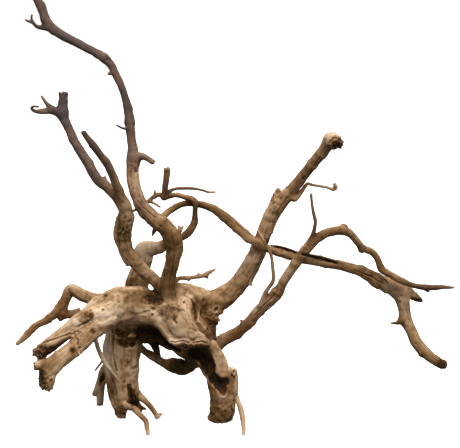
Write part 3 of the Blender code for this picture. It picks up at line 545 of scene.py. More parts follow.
CRACKS = (
    Crack(((-92, 107), (-84, 112), (-76, 116)), 1.3, 2.4),
    Crack(((-127, 91), (-117, 94.5), (-107, 98), (-99, 101)), 1.2, 2.4),
    Crack(((-100, 98), (-95, 102), (-88, 103.5)), 0.8, 1.2),
    Crack(((-95, 98), (-92, 94), (-92, 89)), 0.8, 1.2),
    Crack(((20, 135), (24, 127), (25.5, 118), (27, 110), (33, 104), (39, 96)), 2.2, 4.5),
    Crack(((37, 106), (39, 101), (41, 96)), 2.0, 3.5),
    Crack(((25.5, 119), (26.5, 111), (30.5, 105), (36.5, 98.5)), 2.0, 3.6),
    Crack(((17, 128), (19, 118), (21, 109)), 0.8, 0.7, 0.3),
    Crack(((97.6, 190), (112, 186), (127, 181.2)), 1.5, 2.6),
    Crack(((131, 180), (146, 176.8), (158, 173.8), (168, 170.8)), 1.6, 2.8),
    Crack(((3.4, 115.5), (5, 112.5), (6.8, 109.6)), 1.5, 3.5),
    Crack(((0, 92.6), (6, 91.6), (10, 92.8), (15, 92.6), (20, 90.4)), 1.0, 1.8),
    Crack(((22, 90.5), (26, 91.5), (32, 92.3), (38, 90.5)), 1.0, 1.8),
    Crack(((4, 87.5), (11, 88), (18, 86)), 0.9, 1.3, 0.6),
    Crack(((-57, 106), (-57, 92), (-57, 80), (-56, 70)), 1.6, 2.2, 0.5),
    Crack(((-60.5, 104), (-61, 92), (-61.5, 80), (-60, 66)), 0.7, 0.7, 0.35),
    Crack(((-56.5, 72), (-55, 67), (-53.5, 62.5)), 1.6, 3.5),
    Crack(((-57, 56), (-55, 44), (-52, 32)), 1.6, 1.5, 0.35),
    Crack(((-41, 50), (-40, 42), (-39, 34), (-37, 28)), 3.0, 5.0),
    Crack(((-36, 44), (-35, 38), (-34, 32)), 1.2, 2.0),
    Crack(((-62, 96), (-63, 84), (-63, 74)), 0.8, 1.0, 0.5),
    Crack(((64, 34), (62, 27), (64, 20)), 1.6, 2.4, 0.6),
    Crack(((60, 60), (63, 56), (64, 50)), 1.0, 1.6, 0.7),
    Crack(((76, 148), (85, 162), (92, 180)), 0.8, 1.0, 0.4),
    Crack(((103, 214), (112, 230), (124, 245)), 0.7, 0.6, 0.2),
    Crack(((136, 258), (146, 272), (154, 284)), 0.7, 0.5, 0.15),
    Crack(((213, 157), (216, 153.6), (218.4, 150.6)), 1.1, 2.2),
    Crack(((-1, 150), (2, 166), (5, 182)), 0.8, 0.8, 0.35),
    Crack(((-34, 236), (-26, 226), (-14, 216)), 0.7, 0.8, 0.35),
    Crack(((-47, 206), (-49, 202), (-50, 197)), 1.3, 2.6),
    Crack(((84, 118), (96, 131), (106, 141)), 0.8, 1.0, 0.4),
    Crack(((184, 164), (200, 158), (214, 150)), 0.8, 1.0, 0.4),
)

# Each row is across, up, half width, half height and tone.
# The rows at (12, 86.5), (22, 77) and (31, 84) darken the leg's cave under the cape's lip, those at (45, 54)
# and (51, 46) its lower end, and those at (24.5, 122) and (-37, 36) a crevice and a cleft: painted shade in
# these recesses.
PLAIN_STAINS = (
    (6, 188, 12, 10, -0.15), (8, 100, 14, 8, 0.03), (-12, 133, 5, 7, -0.24), (-20, 150, 20, 12, -0.06),
    (-128, 55, 5, 9, -0.4), (-131, 62, 5, 4, -0.4), (-77, 103, 3.5, 3, -0.22), (-97, 84, 5, 3, -0.26),
    (-105, 80, 5, 5, 0.12), (-46, 60, 12, 26, 0.05), (-37, 36, 5, 12, -0.4), (-70, 50, 6, 10, -0.14),
    (-66, 65, 5, 4, 0.1), (12, 86.5, 12, 3, -0.35), (31, 84, 10, 5, -0.6), (22, 77, 12, 7, -0.5),
    (45, 54, 6, 7, -0.25), (51, 46, 4, 7, -0.25), (24.5, 122, 3, 13, -0.4), (33, 120, 9, 11, -0.12),
    (44, 131, 20, 4, -0.22), (22, 222, 14, 26, -0.12), (58, 212, 60, 24, -0.03), (120, 180, 50, 12, -0.06),
    (225, 146, 22, 12, 0.06), (255, 86, 22, 26, 0.04), (274, 69, 9, 8, -0.34), (250, 132.6, 4.5, 4, -0.45),
    (232, 147, 18, 8, 0.14), (225, 111, 10, 6, -0.42), (60, 100, 34, 16, -0.1), (118, 160, 24, 30, -0.06),
    (162, 301, 10, 5, -0.06), (166.5, 289, 6, 6, -0.42), (108, 240, 8, 8, 0.08), (86, 190, 14, 22, 0.14),
    (144, 216, 10, 26, -0.16), (-140, 100, 22, 16, -0.1), (-106, 128, 8, 12, -0.18),
    (-64, 376, 10, 8, 0.12), (4, 227, 12, 8, -0.1), (98, 188, 14, 6, -0.1), (263, 75, 18, 10, -0.33),
    (262, 148, 26, 8, -0.14), (134, 184, 12, 14, -0.1), (118, 240, 14, 12, -0.12), (24, 136, 16, 8, 0.03),
    (16, 123, 8, 12, 0.06), (34, 133, 10, 6, -0.06), (18, 91, 16, 5, 0.09), (-20, 116, 16, 4, -0.08),
    (-47, 72, 12, 16, 0.06), (-38, 60, 5, 22, 0.1), (-70, 48, 7, 14, 0.1), (14, 66, 13, 8, -0.2),
    (-123, 52, 8, 8, 0.12), (-84, 139, 16, 9, -0.16), (-24, 14, 9, 18, -0.26), (72, 18, 6, 18, -0.14),
    (15, 122, 9, 9, -0.03), (-44, 133, 16, 6, -0.08), (104, 120, 14, 10, 0.06), (8, 206, 8, 6, 0.16),
    (93, 188, 14, 7, -0.12), (-122, 56, 7, 10, -0.1), (-120, 70, 9, 7, -0.08), (8, 227, 10, 7, -0.12),
    (15, 108, 7, 9, -0.09), (-45, 139, 28, 7, -0.12), (4, 102, 8, 9, 0.08), (65, 56, 5, 16, 0.12),
    (-37, 175, 9, 13, -0.17), (118, 182, 13, 6, -0.12), (246, 150, 42, 8, -0.16), (211, 168, 7, 11, -0.16),
    (28, 245, 22, 4, -0.22), (28, 159, 22, 7, -0.15), (22, 146, 15, 6, -0.15), (-46, 60, 10, 24, -0.08),
    (-17, 24, 8, 9, -0.15), (-73, 44, 4, 17, 0.16), (-65, 85, 4, 20, 0.12), (-30, 131, 9, 6, -0.2),
    (50, 137, 12, 9, -0.09),
)

STAINS = tuple(Stain(*row) for row in PLAIN_STAINS) + (
    Stain(-100, 385, 62, 40, -0.34, grey=0.95), Stain(-42, 325, 20, 42, -0.34, grey=0.45),
    Stain(-84, 285, 40, 52, -0.28, grey=0.7), Stain(-40, 128, 36, 13, 0.07, turn=8),
    # The stains at (-46, 98), (-15, 99) and (-10, 84), which reach only wood behind the front rim, paint
    # shade into the cavity under the crown and into the leg's top.
    Stain(-66, 118, 16, 9, 0.08, turn=30), Stain(-46, 98, 15, 11, -0.2, rust=0.2, behind=-14),
    Stain(-15, 99, 20, 13, -0.58, behind=-14), Stain(-10, 84, 14, 8, -0.45, behind=-5),
    Stain(112, 186.5, 15, 1.7, -0.6, turn=-18), Stain(150, 175.8, 19, 1.8, -0.6, turn=-14),
    Stain(-112, 325, 26, 22, -0.1, grey=0.3), Stain(-47, 198, 14, 18, -0.07, grey=0.1),
    Stain(-32, 250, 16, 34, 0.02, grey=0.22), Stain(1, 160, 12, 24, -0.22, olive=0.5),
    Stain(-37, 119, 5, 6, -0.26, grey=0.3), Stain(-60, 108, 12, 2.6, -0.1, grey=0.15, turn=14),
    Stain(20, 110, 24, 14, 0.04, turn=-40), Stain(-17, 136.5, 10, 8, -0.4, turn=-30, rust=0.1),
    Stain(0, 122.5, 11, 6, -0.06, rust=0.5), Stain(-127, 82, 12, 7, -0.26, grey=0.1, turn=30),
    Stain(-110, 89, 12, 3.5, -0.26, turn=35), Stain(-133, 71, 5, 3, 0.2, rust=0.3),
    Stain(-98, 108, 14, 4, 0.02, grey=0.2, turn=35), Stain(-85, 95, 8, 4, -0.14, turn=20),
    Stain(-82, 118, 5, 4, -0.15, olive=0.4), Stain(-34, 100, 5, 12, -0.05, olive=0.5),
    Stain(-60, 45, 4, 24, -0.18, turn=-10), Stain(-48, 22, 10, 8, -0.12, olive=0.4),
    # The stains at (34, 66) and (40, 52) paint shade into the leg's cave.
    Stain(-62, 86, 5, 24, 0.09, olive=0.2), Stain(34, 66, 6, 13, -0.3, turn=-28),
    Stain(40, 52, 3, 14, -0.3, turn=-14), Stain(44, 32, 5, 16, -0.18, olive=0.6),
    Stain(52, 16, 17, 10, -0.1, turn=-14, olive=1.3), Stain(54, 38, 9, 7, 0.06, rust=0.25),
    Stain(58, 49.5, 6, 9, -0.42, rust=0.35), Stain(52, 74, 10, 5, 0.02, turn=-50),
    Stain(40, 112, 9, 7, -0.34, rust=0.3), Stain(40, 101, 5, 7, -0.35, grey=0.3),
    Stain(60, 130, 14, 4, -0.22, turn=40), Stain(-4, 250, 8, 22, -0.2, grey=0.2),
    Stain(226, 157, 26, 4, -0.14, turn=-25, rust=0.3), Stain(262, 147, 50, 10, -0.2, grey=0.3),
    Stain(206, 180, 24, 20, -0.24, turn=-40), Stain(10, 66, 22, 10, -0.25, olive=0.5),
    Stain(-134, 430, 18, 20, -0.28, grey=0.5), Stain(-109, 328, 14, 18, -0.16, grey=0.4),
    Stain(-46, 336, 12, 22, -0.18, grey=0.1), Stain(-37, 279, 12, 11, -0.12, grey=0.3),
    Stain(-24, 224, 18, 15, -0.26, grey=0.16, turn=-45), Stain(0, 202, 15, 14, -0.38, olive=0.3),
    Stain(2, 178, 12, 14, -0.04, rust=0.2), Stain(0, 146, 10, 12, -0.1, olive=0.3, rust=0.2),
    Stain(-74, 256, 14, 12, -0.12, grey=0.1, turn=-45), Stain(-51, 240, 10, 12, -0.18, grey=0.1),
    # The stain at (-22, 183) is painted light on the rear stem's bend, which lies in shade.
    Stain(-22, 158, 14, 9, -0.09, turn=-45), Stain(-22, 183, 17, 10, 0.42, rust=0.3, behind=22),
    Stain(-38, 149, 11, 8, -0.3, behind=14), Stain(42, 222, 56, 16, -0.3, turn=-22),
    Stain(176, 166, 42, 7, -0.22, turn=-14), Stain(247, 92, 16, 16, -0.24, turn=-60),
    Stain(158, 201, 24, 10, -0.3, turn=15), Stain(72, 105, 18, 9, -0.16, turn=40, olive=0.3, rust=0.9),
    Stain(52, 94, 12, 8, 0.02, rust=0.5), Stain(161, 291, 10, 9, 0.2, grey=0.1),
    Stain(142, 268, 26, 12, -0.24, grey=0.1, turn=50), Stain(68, 152, 16, 8, -0.1, turn=45),
    Stain(-32, 139, 11, 6, -0.26, olive=0.3), Stain(-60, 82, 6, 24, 0.14, behind=-14),
    Stain(-49, 24, 9, 10, 0.04, rust=0.2), Stain(-20, 27, 12, 10, -0.16, rust=0.2),
    Stain(-56, 109, 22, 2.0, -0.2, grey=0.2, turn=20), Stain(-42, 114, 14, 2.4, -0.1, grey=0.2, turn=8),
    Stain(-70, 121, 16, 10, 0.06, turn=30), Stain(-96, 108, 14, 8, 0.08, turn=38),
    Stain(-100, 88, 24, 9, -0.04, turn=40), Stain(-122, 73, 12, 7, -0.22, turn=40),
    Stain(-107, 128, 8, 14, -0.18, rust=1.0), Stain(-130, 108, 24, 10, -0.18, turn=35, rust=1.0),
    Stain(38, 112, 11, 11, 0.1, rust=0.3), Stain(30, 132, 10, 7, -0.12, rust=0.1),
    Stain(-8, 117, 8, 4, 0.1, turn=-30), Stain(-48, 112, 16, 4, 0.12, turn=10, rust=0.1),
    Stain(0, 103, 9, 12, 0.0, turn=-40, rust=0.3), Stain(-21, 274, 10, 8, -0.22, grey=0.4),
    Stain(-134, 328, 11, 9, -0.1, grey=0.4), Stain(-84, 121, 5, 3, -0.12, rust=0.4),
    Stain(-50, 117, 30, 6, 0.12, turn=10), Stain(-6, 114, 14, 5, 0.14, turn=-30),
    Stain(84, 196, 14, 7, -0.18, turn=-40), Stain(-100, 84, 26, 9, -0.1, turn=40),
    Stain(-116, 121, 12, 8, -0.1, rust=0.2), Stain(-96, 121, 7, 5, -0.2, rust=0.2),
    Stain(50, 27, 15, 22, 0.03, rust=0.35), Stain(132, 258, 15, 9, -0.13, turn=50),
    Stain(54, 28, 10, 7, -0.08, rust=0.2), Stain(128, 250, 20, 10, 0.05, turn=50, olive=0.2),
)


class Noise:
    """Seeded gradient noise over arrays of points, from about -1 to 1."""

    CELLS = 256
    GAIN = 1.7

    def __init__(self, seed: int) -> None:
        """Shuffles the lattice from the seed."""
        random = np.random.default_rng(seed)
        table = random.permutation(self.CELLS)
        self.table = np.concatenate([table, table])
        slopes = random.normal(size=(self.CELLS, 3))
        self.slopes = slopes / np.linalg.norm(slopes, axis=1)[:, None]

    def at(self, points: np.ndarray) -> np.ndarray:
        """Reads the noise.

        Args:
            points: An array of places, one row each.

        Returns:
            One value a row.
        """
        cell = np.floor(points).astype(np.int64)
        part = points - cell
        ease = part**3 * (part * (part * 6 - 15) + 10)
        total = np.zeros(len(points))
        for corner in np.ndindex(2, 2, 2):
            at = (cell + corner) & (self.CELLS - 1)
            index = self.table[self.table[self.table[at[:, 0]] + at[:, 1]] + at[:, 2]]
            value = np.einsum("ij,ij->i", self.slopes[index], part - corner)
            total += value * np.prod(np.where(corner, ease, 1 - ease), axis=1)
        return total * self.GAIN

    def layers(self, points: np.ndarray, layers: tuple) -> np.ndarray:
        """The sum of several layers of noise, each a cell size in millimetres, a shift and a weight."""
        return sum(weight * self.at(points / size + shift) for size, shift, weight in layers)


def smoothstep(values: np.ndarray, start: float, end: float) -> np.ndarray:
    """0 before start, 1 after end, and an even S between them."""
    t = np.clip((values - start) / (end - start), 0, 1)
    return t * t * (3 - 2 * t)


def place(across: float, up: float, depth: float) -> tuple:
    """Finds the point at a depth on the sight line through (across, up) of the drawing.

    Args:
        across: Millimetres to the right of the drawing's zero point.
        up: Millimetres above it.
        depth: Millimetres away from the viewer.

    Returns:
        The point in the part's frame, in millimetres, and how far it lies along the sight line
        as a share of the drawing's own distance.
    """
    ray = VIEW_DISTANCE * SIGHT + np.array([across - CENTRE_ACROSS, 0.0, 0.0]) + (up - CENTRE_UP) * SHEET_UP
    reach = (depth - EYE[1]) / ray[1]
    return EYE + reach * ray - PART_ORIGIN, reach


def on_drawing(points: np.ndarray) -> np.ndarray:
    """The (across, up) of points of the part's frame on the drawing, in millimetres."""
    line = points + PART_ORIGIN - EYE
    far = line @ SIGHT / VIEW_DISTANCE
    return np.stack([line[:, 0] / far + CENTRE_ACROSS, line @ SHEET_UP / far + CENTRE_UP], axis=1)


def sight_hit(tree: BVHTree, across: float, up: float) -> tuple:
    """Where the sight line through (across, up) first meets the tree's faces in metres, and their normal."""
    eye = EYE - PART_ORIGIN
    far, _ = place(across, up, BACKDROP)
    return tree.ray_cast(Vector(eye * MM), Vector(far - eye).normalized())[:2]


class LimbCore:
    """The smooth centre line of one limb, and how points lie round it.

    Each limb's grain starts GRAIN_APART millimetres after the one before, so that no two share a pattern.
    """

    SPAN_STEPS = 6
    NEAR_ROWS = 3000
    GRAIN_APART = 371.0
    THINNEST_SHARE = 0.9
    END_ON = 0.35
    BLUNT_DOME = (0.22, 0.8)
    ROUND_DOME = ((0.5, 0.87), (0.85, 0.5))

    def __init__(self, name: str, limb: Limb, number: int) -> None:
        """Runs a smooth line through each of the limb's stations."""
        self.name = name
        self.limb = limb
        self.grain_start = number * self.GRAIN_APART
        knots = []
        for across, up, depth, radius in limb.stations:
            point, reach = place(across, up, depth)
            knots.append([*point, radius * reach])
        knots = np.array(knots)
        padded = np.vstack([2 * knots[0] - knots[1], knots, 2 * knots[-1] - knots[-2]])
        line = []
        for i in range(len(knots) - 1):
            before, start, end, after = padded[i : i + 4]
            for t in np.arange(self.SPAN_STEPS) / self.SPAN_STEPS:
                bend = 2 * before - 5 * start + 4 * end - after
                twist = 3 * start - before - 3 * end + after
                line.append(start + 0.5 * t * (end - before + t * (bend + t * twist)))
        line.append(knots[-1])
        line = np.array(line)
        self.points = line[:, :3]
        self.radii = np.maximum(line[:, 3], knots[:, 3].min() * self.THINNEST_SHARE)
        self.girth = float(self.radii.mean())
        steps = np.linalg.norm(np.diff(self.points, axis=0), axis=1)
        self.along = np.concatenate([[0], np.cumsum(steps)])
        self.directions = np.gradient(self.points, axis=0)
        self.directions /= np.linalg.norm(self.directions, axis=1)[:, None]
        self.widths, self.depths = self.section_axes()

    def section_axes(self) -> tuple:
        """The width axis across the view and the thickness axis at each point of the line."""
        widths, depths = [], []
        last = SIGHT
        for direction in self.directions:
            away = SIGHT - (SIGHT @ direction) * direction
            if np.linalg.norm(away) < self.END_ON:
                away = last - (last @ direction) * direction
            last = away / np.linalg.norm(away)
            depths.append(last)
            widths.append(np.cross(direction, last))
        return np.array(widths), np.array(depths)

    def near(self, points: np.ndarray, margin: float) -> np.ndarray:
        """The rows of points inside this limb's box, widened by margin."""
        reach = self.radii.max() + margin
        low, high = self.points.min(axis=0) - reach, self.points.max(axis=0) + reach
        return np.flatnonzero(((points > low) & (points < high)).all(axis=1))

    def measure(self, points: np.ndarray) -> tuple:
        """Measures points against the limb.

        Args:
            points: Places in millimetres, one row each.

        Returns:
            Distance from the limb's side, the outward direction, the place as (width, thickness,
            along), and the limb's radius there.
        """
        starts = range(0, len(points), self.NEAR_ROWS)
        parts = [self.measure_rows(points[start : start + self.NEAR_ROWS]) for start in starts]
        return tuple(np.concatenate(values) for values in zip(*parts))

    def measure_rows(self, points: np.ndarray) -> tuple:
        """Measures a few points, as measure does."""
        flat = self.limb.flat
        squares = (points**2).sum(1)[:, None] - 2 * points @ self.points.T + (self.points**2).sum(1)[None]
        nearest = (np.sqrt(np.maximum(squares, 0)) - self.radii[None]).argmin(axis=1)
        last = len(self.points) - 2
        best = None
        for shift in (-1, 0):
            start = np.clip(nearest + shift, 0, last)
            base = self.points[start]
            span = self.points[start + 1] - base
            length = np.linalg.norm(span, axis=1)
            raw = np.einsum("ij,ij->i", points - base, span) / length**2
            t = np.clip(raw, 0, 1)
            mix = t[:, None]
            offset = points - base - mix * span
            radius = self.radii[start] * (1 - t) + self.radii[start + 1] * t
            width = self.widths[start] * (1 - mix) + self.widths[start + 1] * mix
            depth = self.depths[start] * (1 - mix) + self.depths[start + 1] * mix
            w = np.einsum("ij,ij->i", offset, width)
            d = np.einsum("ij,ij->i", offset, depth)
            size = np.linalg.norm(offset, axis=1)
            over = np.where((start == last) & (raw > 1), (raw - 1) * length, 0.0)
            side = np.sqrt(np.maximum(size**2 - d**2, 0) + (d / flat) ** 2)
            distance = (side - radius) * size / np.maximum(side, 1e-6)
            if self.limb.blunt:
                ring = np.sqrt(w**2 + (d / flat) ** 2) - radius
                distance = np.where(over > 0, np.maximum(ring, over - self.BLUNT_DOME[0] * radius), distance)
            outward = offset / np.maximum(size, 1e-6)[:, None]
            before = np.where((start == 0) & (raw < 0), raw * length, 0.0)
            along = self.along[start] + t * length + over + before
            values = (distance, outward, np.stack([w, d, along], axis=1), radius)
            if best is None:
                best = values
                continue
            closer = distance < best[0]
            best = tuple(
                np.where(closer.reshape(-1, *[1] * (new.ndim - 1)), new, old)
                for new, old in zip(values, best)
            )
        return best

    def rings(self) -> list:
        """The tube's rings, as (centre, radius, width axis, thickness axis), domed unless broken off."""
        rows = list(zip(self.points, self.radii, self.widths, self.depths))
        head = (self.BLUNT_DOME,) if self.limb.blunt else self.ROUND_DOME
        tail = reversed(self.ROUND_DOME)
        ends = [self.ring_beyond(rows[-1], self.directions[-1], *step) for step in head]
        starts = [self.ring_beyond(rows[0], -self.directions[0], *step) for step in tail]
        return starts + rows + ends

    @staticmethod
    def ring_beyond(row: tuple, direction: np.ndarray, reach: float, share: float) -> tuple:
        """The ring that lies reach radii beyond another, with a share of its radius."""
        centre, radius, width, depth = row
        return centre + direction * reach * radius, radius * share, width, depth


@dataclass
class Reading:
    """What the field says about a set of points."""

    distance: np.ndarray
    slope: np.ndarray
    place: np.ndarray
    radius: np.ndarray
    girth: np.ndarray
    join: np.ndarray
    tone: np.ndarray
    tip: np.ndarray


class WoodField:
    """All limbs as one field, with fillets where they meet."""

    REACH = 16.0
    SHORTEST_FILLET = 1.5
    LONGEST_FILLET = 9.0
    NO_WOOD = 1000.0
    NOT_AN_END = -99.0

    def __init__(self, cores: list) -> None:
        """Keeps the limbs' centre lines."""
        self.cores = cores

    def read(self, points: np.ndarray) -> Reading:
        """Reads the field.

        Args:
            points: Places in millimetres, one row each.

        Returns:
            The filleted distance, its slope, and the nearest limb's own coordinates.
        """
        count = len(points)
        # The nearest and the second limb's distance, three parts of slope, radius and tone.
        first, second = np.tile([self.NO_WOOD, 0, 0, 0, 1, 0], (2, count, 1))
        local, tip, girth = np.zeros((count, 3)), np.zeros(count), np.ones(count)
        for core in self.cores:
            rows = core.near(points, self.REACH)
            if not len(rows):
                continue
            distance, outward, where, radius = core.measure(points[rows])
            where[:, 2] += core.grain_start
            end = core.along[-1] + core.grain_start
            found = np.column_stack([distance, outward, radius, np.full(len(rows), core.limb.tone)])
            nearer = distance < first[rows, 0]
            win, lose = rows[nearer], rows[~nearer]
            second[win] = first[win]
            first[win] = found[nearer]
            local[win], girth[win] = where[nearer], core.girth
            tip[win] = where[nearer][:, 2] - end if core.limb.blunt else self.NOT_AN_END
            runner_up = distance[~nearer] < second[lose, 0]
            second[lose[runner_up]] = found[~nearer][runner_up]
        thinner = np.minimum(first[:, 4], second[:, 4])
        fillet = np.clip(0.75 * thinner + 1.2, self.SHORTEST_FILLET, self.LONGEST_FILLET)
        join = np.clip((fillet - (second[:, 0] - first[:, 0])) / fillet, 0, 1)
        half = (join / 2)[:, None]
        mixed = (1 - half) * first + half * second
        return Reading(
            distance=first[:, 0] - join**2 * fillet / 4,
            slope=mixed[:, 1:4],
            place=local,
            radius=mixed[:, 4],
            girth=girth,
            join=join,
            tone=mixed[:, 5],
            tip=tip,
        )


def tubes(name: str, cores: list, sides: int) -> bpy.types.Object:
    """Lofts the limbs as closed tubes into one object, in metres."""
    mesh = bmesh.new()
    angles = np.linspace(0, 2 * math.pi, sides, endpoint=False)
    for core in cores:
        loops = []
        for centre, radius, width, depth in core.rings():
            ring = centre + radius * (
                np.cos(angles)[:, None] * width + core.limb.flat * np.sin(angles)[:, None] * depth
            )
            loops.append([mesh.verts.new(point * MM) for point in ring])
        for lower, upper in zip(loops, loops[1:]):
            for i in range(sides):
                j = (i + 1) % sides
                mesh.faces.new((lower[i], lower[j], upper[j], upper[i]))
        mesh.faces.new(list(reversed(loops[0])))
        mesh.faces.new(loops[-1])
    bmesh.ops.recalc_face_normals(mesh, faces=mesh.faces)
    data = bpy.data.meshes.new(name)
    mesh.to_mesh(data)
    mesh.free()
    return linked(bpy.data.objects.new(name, data))


def linked(obj: bpy.types.Object) -> bpy.types.Object:
    """Puts the object into the scene."""
    bpy.context.scene.collection.objects.link(obj)
    return obj


def settle(obj: bpy.types.Object) -> None:
    """Applies the object's modifiers to its mesh."""
    graph = bpy.context.evaluated_depsgraph_get()
    data = bpy.data.meshes.new_from_object(obj.evaluated_get(graph))
    obj.modifiers.clear()
    old = obj.data
    obj.data = data
    bpy.data.meshes.remove(old)


def discard(obj: bpy.types.Object) -> None:
    """Removes a helper object and its mesh."""
    data = obj.data
    bpy.data.objects.remove(obj, do_unlink=True)
    bpy.data.meshes.remove(data)


def fuse(obj: bpy.types.Object, voxel: float) -> None:
    """Fuses the object into one skin of even cells of this size in millimetres."""
    remesh = obj.modifiers.new("fuse", "REMESH")
    remesh.mode = "VOXEL"
    remesh.voxel_size = voxel * MM
    settle(obj)


def face_tree(mesh: bpy.types.Mesh) -> BVHTree:
    """A search tree over the mesh's faces, in metres."""
    corners = [tuple(face.vertices) for face in mesh.polygons]
    return BVHTree.FromPolygons([tuple(vertex.co) for vertex in mesh.vertices], corners)


def smooth(mesh: bpy.types.Mesh) -> None:
    """Shades every face of the mesh smoothly."""
    mesh.polygons.foreach_set("use_smooth", np.ones(len(mesh.polygons), bool))


def mesh_points(mesh: bpy.types.Mesh) -> np.ndarray:
    """The mesh's vertices in millimetres."""
    flat = np.empty(len(mesh.vertices) * 3, np.float32)
    mesh.vertices.foreach_get("co", flat)
    return flat.reshape(-1, 3).astype(np.float64) / MM


def mesh_normals(mesh: bpy.types.Mesh) -> np.ndarray:
    """The mesh's vertex normals."""
    flat = np.empty(len(mesh.vertices) * 3, np.float32)
    mesh.vertex_normals.foreach_get("vector", flat)
    return flat.reshape(-1, 3).astype(np.float64)


def move_points(mesh: bpy.types.Mesh, points: np.ndarray) -> None:
    """Puts the mesh's vertices at these places in millimetres."""
    mesh.vertices.foreach_set("co", (points * MM).astype(np.float32).ravel())
    mesh.update()


def keep_values(mesh: bpy.types.Mesh, name: str, values: np.ndarray) -> None:
    """Stores one value or vector a vertex as an attribute for the material."""
    kind, key = ("FLOAT", "value") if values.ndim == 1 else ("FLOAT_VECTOR", "vector")
    layer = mesh.attributes.new(name, kind, "POINT")
    layer.data.foreach_set(key, values.astype(np.float32).ravel())


def neighbour_mean(mesh: bpy.types.Mesh, values: np.ndarray, rounds: int) -> np.ndarray:
    """Averages values over each vertex's neighbours, this many times."""
    ends = np.empty(len(mesh.edges) * 2, np.int32)
    mesh.edges.foreach_get("vertices", ends)
    a, b = ends.reshape(-1, 2).T
    count = len(mesh.vertices)
    links = np.bincount(a, minlength=count) + np.bincount(b, minlength=count)
    links = np.maximum(links, 1)
    columns = values.reshape(count, -1).copy()
    for _ in range(rounds):
        for k in range(columns.shape[1]):
            column = columns[:, k]
            near = np.bincount(a, column[b], count) + np.bincount(b, column[a], count)
            columns[:, k] = 0.5 * column + 0.5 * near / links
    return columns.reshape(values.shape)


